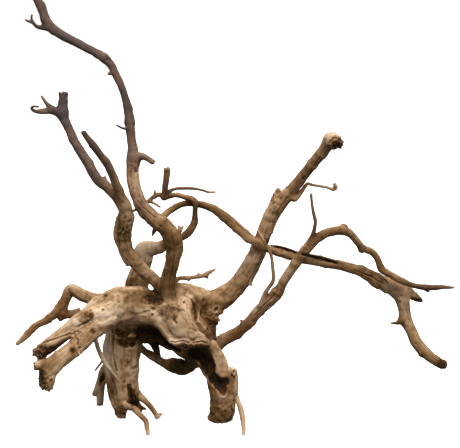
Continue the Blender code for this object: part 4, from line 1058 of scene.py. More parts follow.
@dataclass
class RootSkin:
    """The whole root as one carved skin.

    Sizes are in millimetres. rim softens the hollows' edges, ridge, fibre and rot are the heights of the
    carving, and flute is a share of the limb's radius. Faces that point up are made paler and faces that
    point
    down darker: painted top light and painted underside shade. paler_back and less_grey_back shift the tone
    and grey of wood that faces away from the viewer. Each of LUMPS is a cell size and shift of the noise, and
    its height as a share of the radius, between two limits.
    """

    # How dark each named hollow is made; other hollows are made fully dark. This is the rotted wood's own
    # dark and painted shade in the recess.
    FAINT_HOLLOWS = {
        "stem_pit": 0.0, "stem_gap": 0.1, "stem_gap_low": 0.1, "leg_recess": 0.15, "leg_cave": 0.6,
        "leg_pocket": 0.6, "leg_groove": 0.7, "mask_cave": 0.72, "leg_hollow": 0.72, "arc_slot": 0.8,
        "mask_corner": 0.8, "arch_cave": 0.85, "under_crown": 0.85,
    }
    # How dark each kind of mark is made: painted shade in eyes and pits, and the darker wood of knots.
    MARK_DARKNESS = {Carving.KNOT: 0.25, Carving.EYE: 0.45, Carving.PIT: 0.3}
    FAR_OFF = 99.0
    DEEPEST_DRAW = 2.4
    HOLLOW_REACH = 8.0
    LUMPS = ((16.0, 40.0, 0.10, 0.1, 1.3), (8.0, 12.0, 0.055, 0.05, 0.7), (4.2, 80.0, 0.035, 0.05, 0.5))
    FLUTE_LENGTH = 5.0
    RIDGE_CELL = np.array([2.6, 2.6, 34.0])
    FIBRE_CELL = np.array([1.1, 1.1, 15.0])
    PIT_CELL = np.array([2.2, 2.2, 5.5])
    WALL_LAYERS = ((6.0, 70.0, 1.0), (2.4, 0.0, 0.35))
    ROT_LAYERS = ((np.array([2.6, 2.6, 8.0]), 0.0, 1.0), (1.7, 0.0, 0.5))
    FOOT_LAYERS = ((5.0, 15.0, 1.3), (2.2, 5.0, 0.5))
    TORN_LAYERS = ((3.4, 33.0, 1.0), (1.5, 3.0, 0.6))
    MOTTLE_LAYERS = ((26.0, 60.0, 0.07), (9.0, 20.0, 0.05))
    CRACK_STEPS = 5
    WIDEST_JUMP = 14.0
    TOOTH_WIDTH = 1.6
    LONGEST_TOOTH = 3.2

    tube_sides: int = 20
    voxel: float = 0.75
    cutter_voxel: float = 1.0
    triangles: int = 190000
    hollow_roughness: float = 1.0
    rim: float = 2.0
    flute: float = 0.10
    ridge: float = 0.22
    fibre: float = 0.13
    rot: float = 0.5
    base_tone: float = 0.65
    # Painted top light: how much paler the faces that point up are made.
    painted_top_light: float = 0.12
    # Painted underside shade: how much darker the faces that point down are made.
    painted_underside_shade: float = 0.10
    paler_back: float = 0.20
    less_grey_back: float = 0.55
    seed: int = 11
    cores: list = field(default_factory=list)
    sunk: list = field(default_factory=list)
    splits: list = field(default_factory=list)
    torn_patches: list = field(default_factory=list)

    def __post_init__(self) -> None:
        """Lays out the limbs' and hollows' centre lines."""
        for group in LIMB_GROUPS:
            for name, limb in group.items():
                self.cores.append(LimbCore(name, limb, len(self.cores)))
        self.hollows = [LimbCore(name, limb, 0) for name, limb in {**HOLLOWS, **CAVES}.items()]
        self.wood = WoodField(self.cores)
        self.noise = Noise(self.seed)

    def build(self) -> bpy.types.Object:
        """Builds the skin with its material values.

        Returns:
            The finished object, in the part's frame.
        """
        skin = tubes("wood_skin", self.cores, self.tube_sides)
        fuse(skin, self.voxel)
        self.cut(skin)
        fuse(skin, self.voxel)
        self.draw_to_field(skin)
        self.carve(skin)
        self.thin(skin)
        self.trim_feet(skin)
        self.dress(skin)
        smooth(skin.data)
        return skin

    def cut(self, skin: bpy.types.Object) -> None:
        """Takes the rotted hollows out of the skin."""
        cutter = tubes("hollow_cutter", self.hollows, self.tube_sides)
        fuse(cutter, self.cutter_voxel)
        boolean = skin.modifiers.new("rot_out", "BOOLEAN")
        boolean.operation = "DIFFERENCE"
        boolean.solver = "MANIFOLD"
        boolean.object = cutter
        settle(skin)
        discard(cutter)

    def hollow_reading(self, points: np.ndarray) -> tuple:
        """How far outside the hollows each point lies, which way out is, and how dark the hollow is."""
        nearest = np.full(len(points), self.FAR_OFF)
        outward = np.zeros((len(points), 3))
        darkness = np.zeros(len(points))
        for core in self.hollows:
            rows = core.near(points, self.HOLLOW_REACH)
            if not len(rows):
                continue
            distance, away, _, _ = core.measure(points[rows])
            closer = distance < nearest[rows]
            nearest[rows[closer]] = distance[closer]
            outward[rows[closer]] = away[closer]
            darkness[rows[closer]] = self.FAINT_HOLLOWS.get(core.name, 1.0)
        near = np.flatnonzero(nearest < self.FAR_OFF)
        nearest[near] += self.noise.layers(points[near], self.WALL_LAYERS) * self.hollow_roughness
        return nearest, outward, darkness

    def draw_to_field(self, skin: bpy.types.Object) -> None:
        """Moves the skin onto the filleted field, with soft rims round the hollows."""
        points = mesh_points(skin.data)
        for _ in range(2):
            reading = self.wood.read(points)
            hollow, away, _ = self.hollow_reading(points)
            wood, wall = reading.distance, -hollow
            soft = np.clip((self.rim - np.abs(wood - wall)) / self.rim, 0, 1)
            distance = np.maximum(wood, wall) + soft**2 * self.rim / 4
            wall_share = np.where(wall > wood, 1 - soft / 2, soft / 2)[:, None]
            slope = (1 - wall_share) * reading.slope - wall_share * away
            steep = np.maximum((slope**2).sum(axis=1), 0.3)
            step = np.clip(distance, -self.DEEPEST_DRAW, self.DEEPEST_DRAW)
            points -= slope * (step / steep)[:, None]
        points = neighbour_mean(skin.data, points, 1)
        move_points(skin.data, points)

    def relief(self, points: np.ndarray, reading: Reading) -> tuple:
        """Works out the carving that runs with the grain.

        Args:
            points: Places on the skin in millimetres.
            reading: What the field says about them.

        Returns:
            How far each point is raised, in millimetres, and how deep its small pits are from 0 to 1.
        """
        noise, local, radius = self.noise, reading.place, reading.radius
        free = 1 - reading.join
        along = reading.girth * self.FLUTE_LENGTH + 6
        flutes = noise.at(local / np.stack([radius * 1.3, radius * 1.3, along], axis=1))
        raised = flutes * self.flute * radius * free
        for size, shift, share, least, most in self.LUMPS:
            raised += noise.at(points / size + shift) * np.clip(radius * share, least, most)
        along = np.full(len(radius), 8.0)
        knuckle = noise.at(local / np.stack([radius * 2.2, radius * 2.2, along], axis=1) + 50.0)
        knuckle = smoothstep(knuckle, 0.15, 0.8) * (1 - smoothstep(radius, 7, 11))
        raised += knuckle * np.clip(radius * 0.16, 0.1, 0.9) * free
        ridge = 1 - 2 * np.abs(noise.at(local / self.RIDGE_CELL))
        raised += ridge * self.ridge * np.clip(radius / 6.0, 0.2, 1.4) * free
        fibre = noise.at(local / self.FIBRE_CELL + 9.0)
        raised += fibre * self.fibre * np.clip(radius / 3.0, 0.2, 1) * free
        low = smoothstep(-points[:, 2], -16.0, -2.0) * smoothstep(radius, 3.0, 6.0)
        raised += low * noise.layers(points, self.FOOT_LAYERS)
        cell = noise.at(local / self.PIT_CELL + 30.0) + 0.4 * noise.at(points / 20.0 + 3.0)
        pits = smoothstep(cell, 0.74, 0.98) * smoothstep(radius, 3.0, 7.0)
        return raised - pits * 0.8, pits

    def seen_from_front(self, tree: BVHTree, across: float, up: float) -> np.ndarray | None:
        """The first place that the sight line through (across, up) meets the skin, in millimetres."""
        hit, _ = sight_hit(tree, across, up)
        return None if hit is None else np.array(hit) / MM

    def carve(self, skin: bpy.types.Object) -> None:
        """Raises and sinks the skin with grain, marks, cracks, torn ends and rotted walls."""
        mesh = skin.data
        points, normals = mesh_points(mesh), mesh_normals(mesh)
        reading = self.wood.read(points)
        hollow = 1 - smoothstep(self.hollow_reading(points)[0], 0.4, 2.4)
        hollow *= smoothstep(-reading.distance, 0.2, 1.5)
        raised, _ = self.relief(points, reading)
        raised *= 1 - hollow
        raised += self.noise.layers(points, self.ROT_LAYERS) * self.rot * hollow
        tree = face_tree(mesh)
        for mark in MARKS:
            self.add_mark(tree, mark, points, raised)
        for crack in CRACKS:
            self.add_crack(tree, crack, points, raised)
        for patch in ROUGH_PATCHES:
            self.add_rough(tree, patch, points, raised)
        points += normals * raised[:, None]
        self.tear_ends(points, reading)
        move_points(mesh, points)

    def add_rough(self, tree: BVHTree, patch: Rough, points: np.ndarray, raised: np.ndarray) -> None:
        """Adds one torn patch to the raised heights."""
        spot = self.seen_from_front(tree, patch.across, patch.up)
        if spot is None:
            return
        far = np.linalg.norm(points - spot, axis=1) / patch.radius
        rows = np.flatnonzero(far < 1.6)
        fade = 1 - smoothstep(far[rows], 0.5, 1.5)
        raised[rows] += self.noise.layers(points[rows], self.TORN_LAYERS) * patch.height * fade
        self.torn_patches.append((spot, patch.radius))

    def add_mark(self, tree: BVHTree, mark: Mark, points: np.ndarray, raised: np.ndarray) -> None:
        """Adds one knot, eye or pit to the raised heights."""
        spot = self.seen_from_front(tree, mark.across, mark.up)
        if spot is None:
            logging.warning("no wood under the mark at %s, %s", mark.across, mark.up)
            return
        rows = np.flatnonzero(np.linalg.norm(points - spot, axis=1) < 3 * mark.radius)
        far = self.ragged_distance(points[rows], spot, mark.radius)
        if mark.carving is Carving.KNOT:
            dimple = 0.5 * np.exp(-((far * 2.4) ** 2))
            raised[rows] += mark.relief * (np.exp(-((far / 1.1) ** 2)) - dimple)
        elif mark.carving is Carving.EYE:
            lip = 0.35 * np.exp(-(((far - 1.5) / 0.4) ** 2))
            raised[rows] += lip - mark.relief * (1 - smoothstep(far, 0.6, 1.15))
        else:
            raised[rows] -= mark.relief * np.exp(-(far**2))
        share = 0.5 if mark.carving is Carving.KNOT else 1.0
        self.sunk.append((spot, mark.radius * share, mark.carving))

    def ragged_distance(self, points: np.ndarray, spot: np.ndarray, radius: float) -> np.ndarray:
        """How many radii away from the spot the points lie, with a ragged edge."""
        ragged = 1 + 0.45 * self.noise.at(points / (radius * 1.1) + spot)
        return np.linalg.norm(points - spot, axis=1) / radius * ragged

    def add_crack(self, tree: BVHTree, crack: Crack, points: np.ndarray, raised: np.ndarray) -> None:
        """Adds one split to the raised heights."""
        line = np.array(crack.line, float)
        share = np.linspace(0, len(line) - 1, self.CRACK_STEPS * len(line))
        spots = []
        for value in share:
            at = [np.interp(value, np.arange(len(line)), line[:, k]) for k in (0, 1)]
            wander = self.noise.at(np.array([[at[0] / 6.0, at[1] / 6.0, crack.depth]]))[0]
            spot = self.seen_from_front(tree, at[0] + wander, at[1] + 0.5 * wander)
            if spot is not None:
                spots.append(spot)
        if len(spots) < 2:
            return
        spots = np.array(spots)
        self.splits.append((spots, crack.width, crack.dark))
        rows, far, taper = self.crack_rows(points, spots, crack.width)
        raised[rows] -= crack.depth * taper * (1 - smoothstep(far, 0.25, 1.0))
        raised[rows] += 0.25 * taper * np.exp(-(((far - 1.5) / 0.5) ** 2))

    def crack_rows(self, points: np.ndarray, spots: np.ndarray, width: float) -> tuple:
        """The points near a split, how many widths away they lie, and how open the split is there."""
        low, high = spots.min(axis=0) - 3 * width, spots.max(axis=0) + 3 * width
        rows = np.flatnonzero(((points > low) & (points < high)).all(axis=1))
        far = np.full(len(rows), self.FAR_OFF)
        taper = np.zeros(len(rows))
        spans = len(spots) - 1
        for i in range(spans):
            span = spots[i + 1] - spots[i]
            if np.linalg.norm(span) > self.WIDEST_JUMP:
                continue
            t = np.clip((points[rows] - spots[i]) @ span / max(span @ span, 1e-9), 0, 1)
            away = np.linalg.norm(points[rows] - spots[i] - t[:, None] * span, axis=1) / width
            closer = away < far
            far = np.where(closer, away, far)
            here = (i + t) / spans
            taper = np.where(closer, np.clip(4 * here * (1 - here), 0, 1) ** 0.5, taper)
        return rows, far, taper

    def tear_ends(self, points: np.ndarray, reading: Reading) -> None:
        """Pulls the broken ends out into splinters along their limbs."""
        local = reading.place
        section = local[:, :2] / self.TOOTH_WIDTH
        tooth = self.noise.at(np.column_stack([section, np.full(len(local), 5.5)]))
        at_end = smoothstep(reading.tip, -1.5, 0.3)
        for core in self.cores:
            if not core.limb.blunt:
                continue
            beyond = local[:, 2] - core.grain_start - core.along[-1]
            mine = np.flatnonzero((at_end > 0) & (np.abs(beyond) < 6.0))
            pull = at_end[mine] * tooth[mine] * min(core.radii[-1] * 0.5, self.LONGEST_TOOTH)
            points[mine] += core.directions[-1] * pull[:, None]

    def thin(self, skin: bpy.types.Object) -> None:
        """Collapses edges down to the skin's triangle budget."""
        skin.data.calc_loop_triangles()
        collapse = skin.modifiers.new("thin", "DECIMATE")
        collapse.ratio = min(1.0, self.triangles / len(skin.data.loop_triangles))
        settle(skin)

    def trim_feet(self, skin: bpy.types.Object) -> None:
        """Cuts the skin off flat at the floor."""
        mesh = bmesh.new()
        mesh.from_mesh(skin.data)
        geometry = mesh.verts[:] + mesh.edges[:] + mesh.faces[:]
        cut = bmesh.ops.bisect_plane(
            mesh, geom=geometry, dist=1e-6, plane_co=(0, 0, 0), plane_no=(0, 0, -1), clear_outer=True
        )
        edges = [item for item in cut["geom_cut"] if isinstance(item, bmesh.types.BMEdge)]
        bmesh.ops.holes_fill(mesh, edges=edges, sides=0)
        bmesh.ops.triangulate(mesh, faces=[face for face in mesh.faces if len(face.verts) > 4])
        loose = [vert for vert in mesh.verts if not vert.link_faces]
        bmesh.ops.delete(mesh, geom=loose, context="VERTS")
        bmesh.ops.recalc_face_normals(mesh, faces=mesh.faces)
        mesh.to_mesh(skin.data)
        mesh.free()

    def dress(self, skin: bpy.types.Object) -> None:
        """Stores what the material reads at each vertex: the grain's place, the tone and each stain, and the
        painted light and shade at ridges, creases, splits, holes, hollows and undersides.
        """
        mesh = skin.data
        points, normals = mesh_points(mesh), mesh_normals(mesh)
        reading = self.wood.read(points)
        tone, shares = self.stained(points, normals, reading)
        # hollow darkens the walls of the rotted hollows: partly the rot's own dark and partly painted shade
        # in these recesses.
        hollow_distance, _, darkness = self.hollow_reading(points)
        hollow = (1 - smoothstep(hollow_distance, 0.2, 2.6)) * darkness
        shares["hollow"] = hollow * smoothstep(-reading.distance, 0.8, 4.5)
        # dark is painted shade in the splits, eyes and pits, and the darker wood of knots.
        shares["dark"] = self.darkened(points) + 0.35 * self.relief(points, reading)[1]
        torn = smoothstep(reading.tip, -2.5, 0.5) * smoothstep(reading.radius, 1.5, 4.0)
        for spot, radius in self.torn_patches:
            far = np.linalg.norm(points - spot, axis=1) / radius
            torn = np.maximum(torn, 0.8 * (1 - smoothstep(far, 0.5, 1.4)))
        shares["torn"] = torn
        for name, values in shares.items():
            keep_values(mesh, name, np.clip(values, 0, 1))
        # edge is how far each point stands out from its neighbours: a painted highlight on ridges and painted
        # shade in creases.
        bulge = np.einsum("ij,ij->i", points - neighbour_mean(mesh, points, 6), normals)
        keep_values(mesh, "edge", np.clip(bulge / 0.25, -1, 1))
        # under is painted underside shade: it grows as faces point down.
        keep_values(mesh, "under", smoothstep(-normals[:, 2], 0.0, 0.9))
        keep_values(mesh, "grain_place", reading.place)
        keep_values(mesh, "join", reading.join)
        keep_values(mesh, "tone", tone)

    def stained(self, points: np.ndarray, normals: np.ndarray, reading: Reading) -> tuple:
        """The wood's tone at each point, and how grey, olive and rusty it is, by name."""
        tone = self.base_tone + reading.tone
        # Painted top light and painted underside shade: faces that point up are made paler, faces that point
        # down darker.
        tone += self.painted_top_light * smoothstep(normals[:, 2], 0.1, 0.95)
        tone -= self.painted_underside_shade * smoothstep(-normals[:, 2], -0.15, 0.75)
        shares = {name: np.zeros(len(points)) for name in ("grey", "olive", "rust")}
        drawn = on_drawing(points)
        depth = points[:, 1] + PART_ORIGIN[1]
        for stain in STAINS:
            across, up = drawn[:, 0] - stain.across, drawn[:, 1] - stain.up
            cosine, sine = math.cos(math.radians(stain.turn)), math.sin(math.radians(stain.turn))
            spread = ((across * cosine + up * sine) / stain.half_width) ** 2
            spread += ((up * cosine - across * sine) / stain.half_height) ** 2
            here = np.exp(-(spread**1.5)) * smoothstep(depth, stain.behind - 2, stain.behind + 3)
            tone += stain.tone * here
            for name, values in shares.items():
                values += getattr(stain, name) * here
        turned = smoothstep(normals[:, 1], 0.0, 0.8)
        tone += self.paler_back * shares["grey"] * turned
        shares["grey"] *= 1 - self.less_grey_back * turned
        return tone + self.noise.layers(points, self.MOTTLE_LAYERS), shares

    def darkened(self, points: np.ndarray) -> np.ndarray:
        """How dark the cracks and marks make each point, from 0 to 1: painted shade in splits, eyes and pits,
        and the darker wood of knots.
        """
        dark = np.zeros(len(points))
        for spots, width, strength in self.splits:
            rows, far, taper = self.crack_rows(points, spots, width)
            here = strength * taper * (1 - smoothstep(far, 0.35, 1.15))
            dark[rows] = np.maximum(dark[rows], here)
        for spot, radius, carving in self.sunk:
            far = self.ragged_distance(points, spot, radius)
            dark = np.maximum(dark, self.MARK_DARKNESS[carving] * (1 - smoothstep(far, 0.6, 1.3)))
        return dark


class NodeSheet:
    """Adds and links the nodes of one shader or geometry tree."""

    def __init__(self, tree: bpy.types.NodeTree) -> None:
        """Keeps the tree."""
        self.tree = tree

    def add(self, kind: str, inputs: dict | None = None, **settings: object) -> bpy.types.Node:
        """Adds a node.

        Args:
            kind: The node's type.
            inputs: Values or sockets for its inputs, by name or place.
            settings: The node's own properties, which are set first.

        Returns:
            The node.
        """
        node = self.tree.nodes.new(kind)
        for name, value in settings.items():
            setattr(node, name, value)
        self.fill(node, inputs or {})
        return node

    def fill(self, node: bpy.types.Node, inputs: dict) -> None:
        """Links each of these inputs to a socket, or sets its own value."""
        for name, value in inputs.items():
            if isinstance(value, bpy.types.NodeSocket):
                self.tree.links.new(value, node.inputs[name])
            else:
                node.inputs[name].default_value = value

    def socket(
        self, kind: str, output: str | int, inputs: dict | None = None, **settings: object
    ) -> bpy.types.NodeSocket:
        """Adds a node as add does, and gives one of its outputs."""
        return self.add(kind, inputs, **settings).outputs[output]

    def maths(self, operation: str, a: object, b: object = 0.0) -> bpy.types.NodeSocket:
        """One sum of two values."""
        return self.socket("ShaderNodeMath", 0, {0: a, 1: b}, operation=operation)

    def total(self, *terms: object) -> bpy.types.NodeSocket:
        """The sum of several values."""
        result = terms[0]
        for term in terms[1:]:
            result = self.maths("ADD", result, term)
        return result

    def scaled(self, value: object, factor: float, shift: float = 0.0) -> bpy.types.NodeSocket:
        """value times factor plus shift."""
        return self.socket("ShaderNodeMath", 0, {0: value, 1: factor, 2: shift}, operation="MULTIPLY_ADD")

    def stretched(self, vector: object, scale: object) -> bpy.types.NodeSocket:
        """A vector times a scale a side."""
        return self.socket("ShaderNodeVectorMath", 0, {0: vector, 1: scale}, operation="MULTIPLY")

    def cloud(self, vector: object, scale: object, detail: float, rough: float = 0.5) -> bpy.types.NodeSocket:
        """Noise from 0 to 1."""
        inputs = {"Vector": vector, "Scale": scale, "Detail": detail, "Roughness": rough}
        return self.socket("ShaderNodeTexNoise", "Fac", inputs)

    def ranged(
        self, value: object, low: float, high: float, to_low: float = 0.0, to_high: float = 1.0
    ) -> bpy.types.NodeSocket:
        """Maps a range of values smoothly onto another, and clamps it."""
        inputs = {"Value": value, "From Min": low, "From Max": high, "To Min": to_low, "To Max": to_high}
        return self.socket("ShaderNodeMapRange", "Result", inputs, interpolation_type="SMOOTHSTEP")

    def blended(self, share: object, a: object, b: object) -> bpy.types.NodeSocket:
        """Colour a, or b where share is 1."""
        return self.socket("ShaderNodeMix", "Result", {"Factor": share, "A": a, "B": b}, data_type="RGBA")

    def ramp(self, value: object, stops: tuple) -> bpy.types.NodeSocket:
        """A colour for each value, from (place, colour) stops."""
        node = self.add("ShaderNodeValToRGB", {"Fac": value})
        elements = node.color_ramp.elements
        while len(elements) < len(stops):
            elements.new(0.5)
        for element, (where, colour) in zip(elements, stops):
            element.position = where
            element.color = (*colour, 1.0)
        return node.outputs["Color"]

    def value_of(self, name: str, output: str = "Fac") -> bpy.types.NodeSocket:
        """Reads an attribute of the mesh in a material."""
        return self.socket("ShaderNodeAttribute", output, attribute_name=name)

    def named(self, name: str, kind: str = "FLOAT") -> bpy.types.NodeSocket:
        """Reads an attribute of the mesh in a geometry tree."""
        return self.socket("GeometryNodeInputNamedAttribute", "Attribute", {"Name": name}, data_type=kind)


def node_group(name: str, inputs: tuple, outputs: tuple) -> tuple:
    """Starts a shader node group.

    Args:
        name: The group's name.
        inputs: (name, socket type, default) for each input.
        outputs: The names of its values.

    Returns:
        The group, its sheet, its inputs' sockets and its output node.
    """
    group = bpy.data.node_groups.new(name, "ShaderNodeTree")
    for title, kind, default in inputs:
        socket = group.interface.new_socket(title, in_out="INPUT", socket_type=kind)
        if default is not None:
            socket.default_value = default
    for title in outputs:
        group.interface.new_socket(title, in_out="OUTPUT", socket_type="NodeSocketFloat")
    sheet = NodeSheet(group)
    return group, sheet, sheet.add("NodeGroupInput").outputs, sheet.add("NodeGroupOutput")


def lengthwise_grain() -> bpy.types.NodeTree:
    """The group for grain that runs along a limb: streaks, fine fibres, dark pores and hairline cracks."""
    group, sheet, given, end = node_group(
        "lengthwise_grain",
        (("Place", "NodeSocketVector", None), ("Stretch", "NodeSocketFloat", 14.0)),
        ("Streak", "Fibre", "Pore", "Hairline"),
    )
    shorter = sheet.maths("DIVIDE", 1.0, given["Stretch"])
    squeeze = sheet.socket("ShaderNodeCombineXYZ", "Vector", {"X": 1.0, "Y": 1.0, "Z": shorter})
    along = sheet.stretched(given["Place"], squeeze)
    pore = sheet.cloud(sheet.stretched(along, (1.0, 1.0, 2.2)), 1.1, 1.0)
    wave = sheet.cloud(sheet.stretched(along, (0.8, 0.8, 0.6)), 0.42, 2.0, 0.45)
    off_line = sheet.maths("ABSOLUTE", sheet.scaled(wave, 1.0, -0.5))
    line = sheet.ranged(off_line, 0.004, 0.020, 1.0, 0.0)
    where_split = sheet.ranged(sheet.cloud(along, 0.12, 1.0), 0.46, 0.60)
    sheet.fill(end, {
        "Streak": sheet.cloud(along, 0.28, 3.0, 0.55),
        "Fibre": sheet.cloud(along, 1.5, 3.0, 0.6),
        "Pore": sheet.ranged(pore, 0.66, 0.78),
        "Hairline": sheet.maths("MULTIPLY", line, where_split),
    })
    return group


def weather_blotch() -> bpy.types.NodeTree:
    """The group for uneven bleaching: broad patches, and dust caught in the grain."""
    group, sheet, given, end = node_group(
        "weather_blotch",
        (("Place", "NodeSocketVector", None), ("Patch Scale", "NodeSocketFloat", 60.0)),
        ("Patch", "Speck"),
    )
    sheet.fill(end, {
        "Patch": sheet.cloud(given["Place"], given["Patch Scale"], 4.0, 0.6),
        "Speck": sheet.cloud(given["Place"], 420.0, 2.0, 0.6),
    })
    return group


@dataclass(frozen=True)
class WashedWood:
    """The finish of bare, water-worn wood, from rotted dark to bleached pale, with painted light and shade in
    its tone: paler ridges, and darker creases, splits, holes, hollows and undersides.

    tone_levels say how much each pattern or stored value adds to the tone, and relief_levels to the bump.
    bump_height is in millimetres.
    """

    stops: tuple = (
        (0.00, (0.013, 0.006, 0.003)),
        (0.20, (0.052, 0.022, 0.006)),
        (0.38, (0.134, 0.066, 0.022)),
        (0.54, (0.248, 0.135, 0.058)),
        (0.70, (0.400, 0.245, 0.130)),
        (0.86, (0.575, 0.396, 0.242)),
        (1.00, (0.750, 0.572, 0.400)),
    )
    # edge paints highlights on ridges and shade in creases; hollow and dark darken the hollows, splits and
    # holes, partly as painted shade.
    tone_levels: tuple = (
        ("Streak", 0.19), ("Fibre", 0.18), ("Patch", 0.23), ("edge", 0.13), ("Pore", -0.05),
        ("Hairline", -0.15), ("hollow", -0.46), ("dark", -0.42), ("torn", -0.16),
    )
    relief_levels: tuple = (
        ("Fibre", 0.9), ("Streak", 0.8), ("Speck", 0.25), ("Pore", -0.5), ("Hairline", -0.6),
    )
    grey: tuple = (0.078, 0.061, 0.064, 1.0)
    # olive is the colour of the olive stains, and also of the painted underside shade.
    olive: tuple = (0.096, 0.056, 0.015, 1.0)
    rust: tuple = (0.220, 0.100, 0.036, 1.0)
    grey_share: float = 0.92
    stain_share: float = 0.6
    streak_rust: float = 0.25
    roughness: float = 0.84
    sheen_level: float = 0.14
    bump_strength: float = 0.75
    bump_height: float = 0.7

    def material(self, grain: bpy.types.NodeTree, weather: bpy.types.NodeTree) -> bpy.types.Material:
        """Makes the material.

        Args:
            grain: The lengthwise grain group.
            weather: The weather blotch group.

        Returns:
            The material, which reads the skin's stored values.
        """
        made = bpy.data.materials.new("washed_wood")
        made.use_nodes = True
        sheet = NodeSheet(made.node_tree)
        along = sheet.value_of("grain_place", "Vector")
        grown = sheet.add("ShaderNodeGroup", {"Place": along}, node_tree=grain).outputs
        where = sheet.socket("ShaderNodeTexCoord", "Object")
        aged = sheet.add("ShaderNodeGroup", {"Place": where}, node_tree=weather).outputs
        parts = {"Patch": sheet.scaled(aged["Patch"], 1.0, -0.5), "Speck": aged["Speck"]}
        clear = sheet.scaled(sheet.value_of("join"), -1.0, 1.0)
        for name, shift in (("Streak", -0.5), ("Fibre", -0.5), ("Pore", 0.0), ("Hairline", 0.0)):
            parts[name] = sheet.maths("MULTIPLY", sheet.scaled(grown[name], 1.0, shift), clear)
        for name in ("edge", "hollow", "dark", "torn"):
            parts[name] = sheet.value_of(name)
        shifts = [sheet.scaled(parts[name], level) for name, level in self.tone_levels]
        colour = sheet.ramp(sheet.total(sheet.value_of("tone"), *shifts), self.stops)
        colour = sheet.blended(sheet.scaled(sheet.value_of("grey"), self.grey_share), colour, self.grey)
        # Painted underside shade: faces that point down are blended, in patches, towards the dark olive
        # colour. The olive stains blend towards the same colour.
        patchy = sheet.ranged(aged["Patch"], 0.3, 0.7, 0.35, 0.85)
        under = sheet.maths("MULTIPLY", sheet.value_of("under"), patchy)
        shaded = sheet.maths("MAXIMUM", under, sheet.scaled(sheet.value_of("olive"), self.stain_share))
        colour = sheet.blended(shaded, colour, self.olive)
        streaks = sheet.maths("MULTIPLY", sheet.ranged(parts["Streak"], 0.10, 0.22), self.streak_rust)
        rusty = sheet.maths("MAXIMUM", streaks, sheet.scaled(sheet.value_of("rust"), self.stain_share))
        heights = [sheet.scaled(parts[name], level) for name, level in self.relief_levels]
        bump = {"Strength": self.bump_strength, "Distance": self.bump_height * MM}
        bump["Height"] = sheet.total(*heights)
        sheet.fill(made.node_tree.nodes["Principled BSDF"], {
            "Base Color": sheet.blended(rusty, colour, self.rust),
            "Roughness": sheet.scaled(aged["Speck"], 0.16, self.roughness - 0.08),
            "Specular IOR Level": self.sheen_level,
            "Normal": sheet.socket("ShaderNodeBump", "Normal", bump),
        })
        return made


@dataclass(frozen=True)
class DryFibre:
    """The finish of fine dead rootlets and torn fibres."""

    dark: tuple = (0.120, 0.058, 0.028, 1.0)
    pale: tuple = (0.430, 0.270, 0.150, 1.0)
    roughness: float = 0.9
    sheen_level: float = 0.2
    patch_scale: float = 260.0

    def material(self, weather: bpy.types.NodeTree) -> bpy.types.Material:
        """Makes the material from the weather blotch group."""
        made = bpy.data.materials.new("dry_fibre")
        made.use_nodes = True
        sheet = NodeSheet(made.node_tree)
        given = {"Place": sheet.socket("ShaderNodeTexCoord", "Object"), "Patch Scale": self.patch_scale}
        patch = sheet.socket("ShaderNodeGroup", "Patch", given, node_tree=weather)
        share = sheet.maths("MULTIPLY", sheet.ranged(patch, 0.3, 0.7), sheet.value_of("pale"))
        sheet.fill(made.node_tree.nodes["Principled BSDF"], {
            "Base Color": sheet.blended(share, self.dark, self.pale),
            "Roughness": self.roughness,
            "Specular IOR Level": self.sheen_level,
        })
        return made


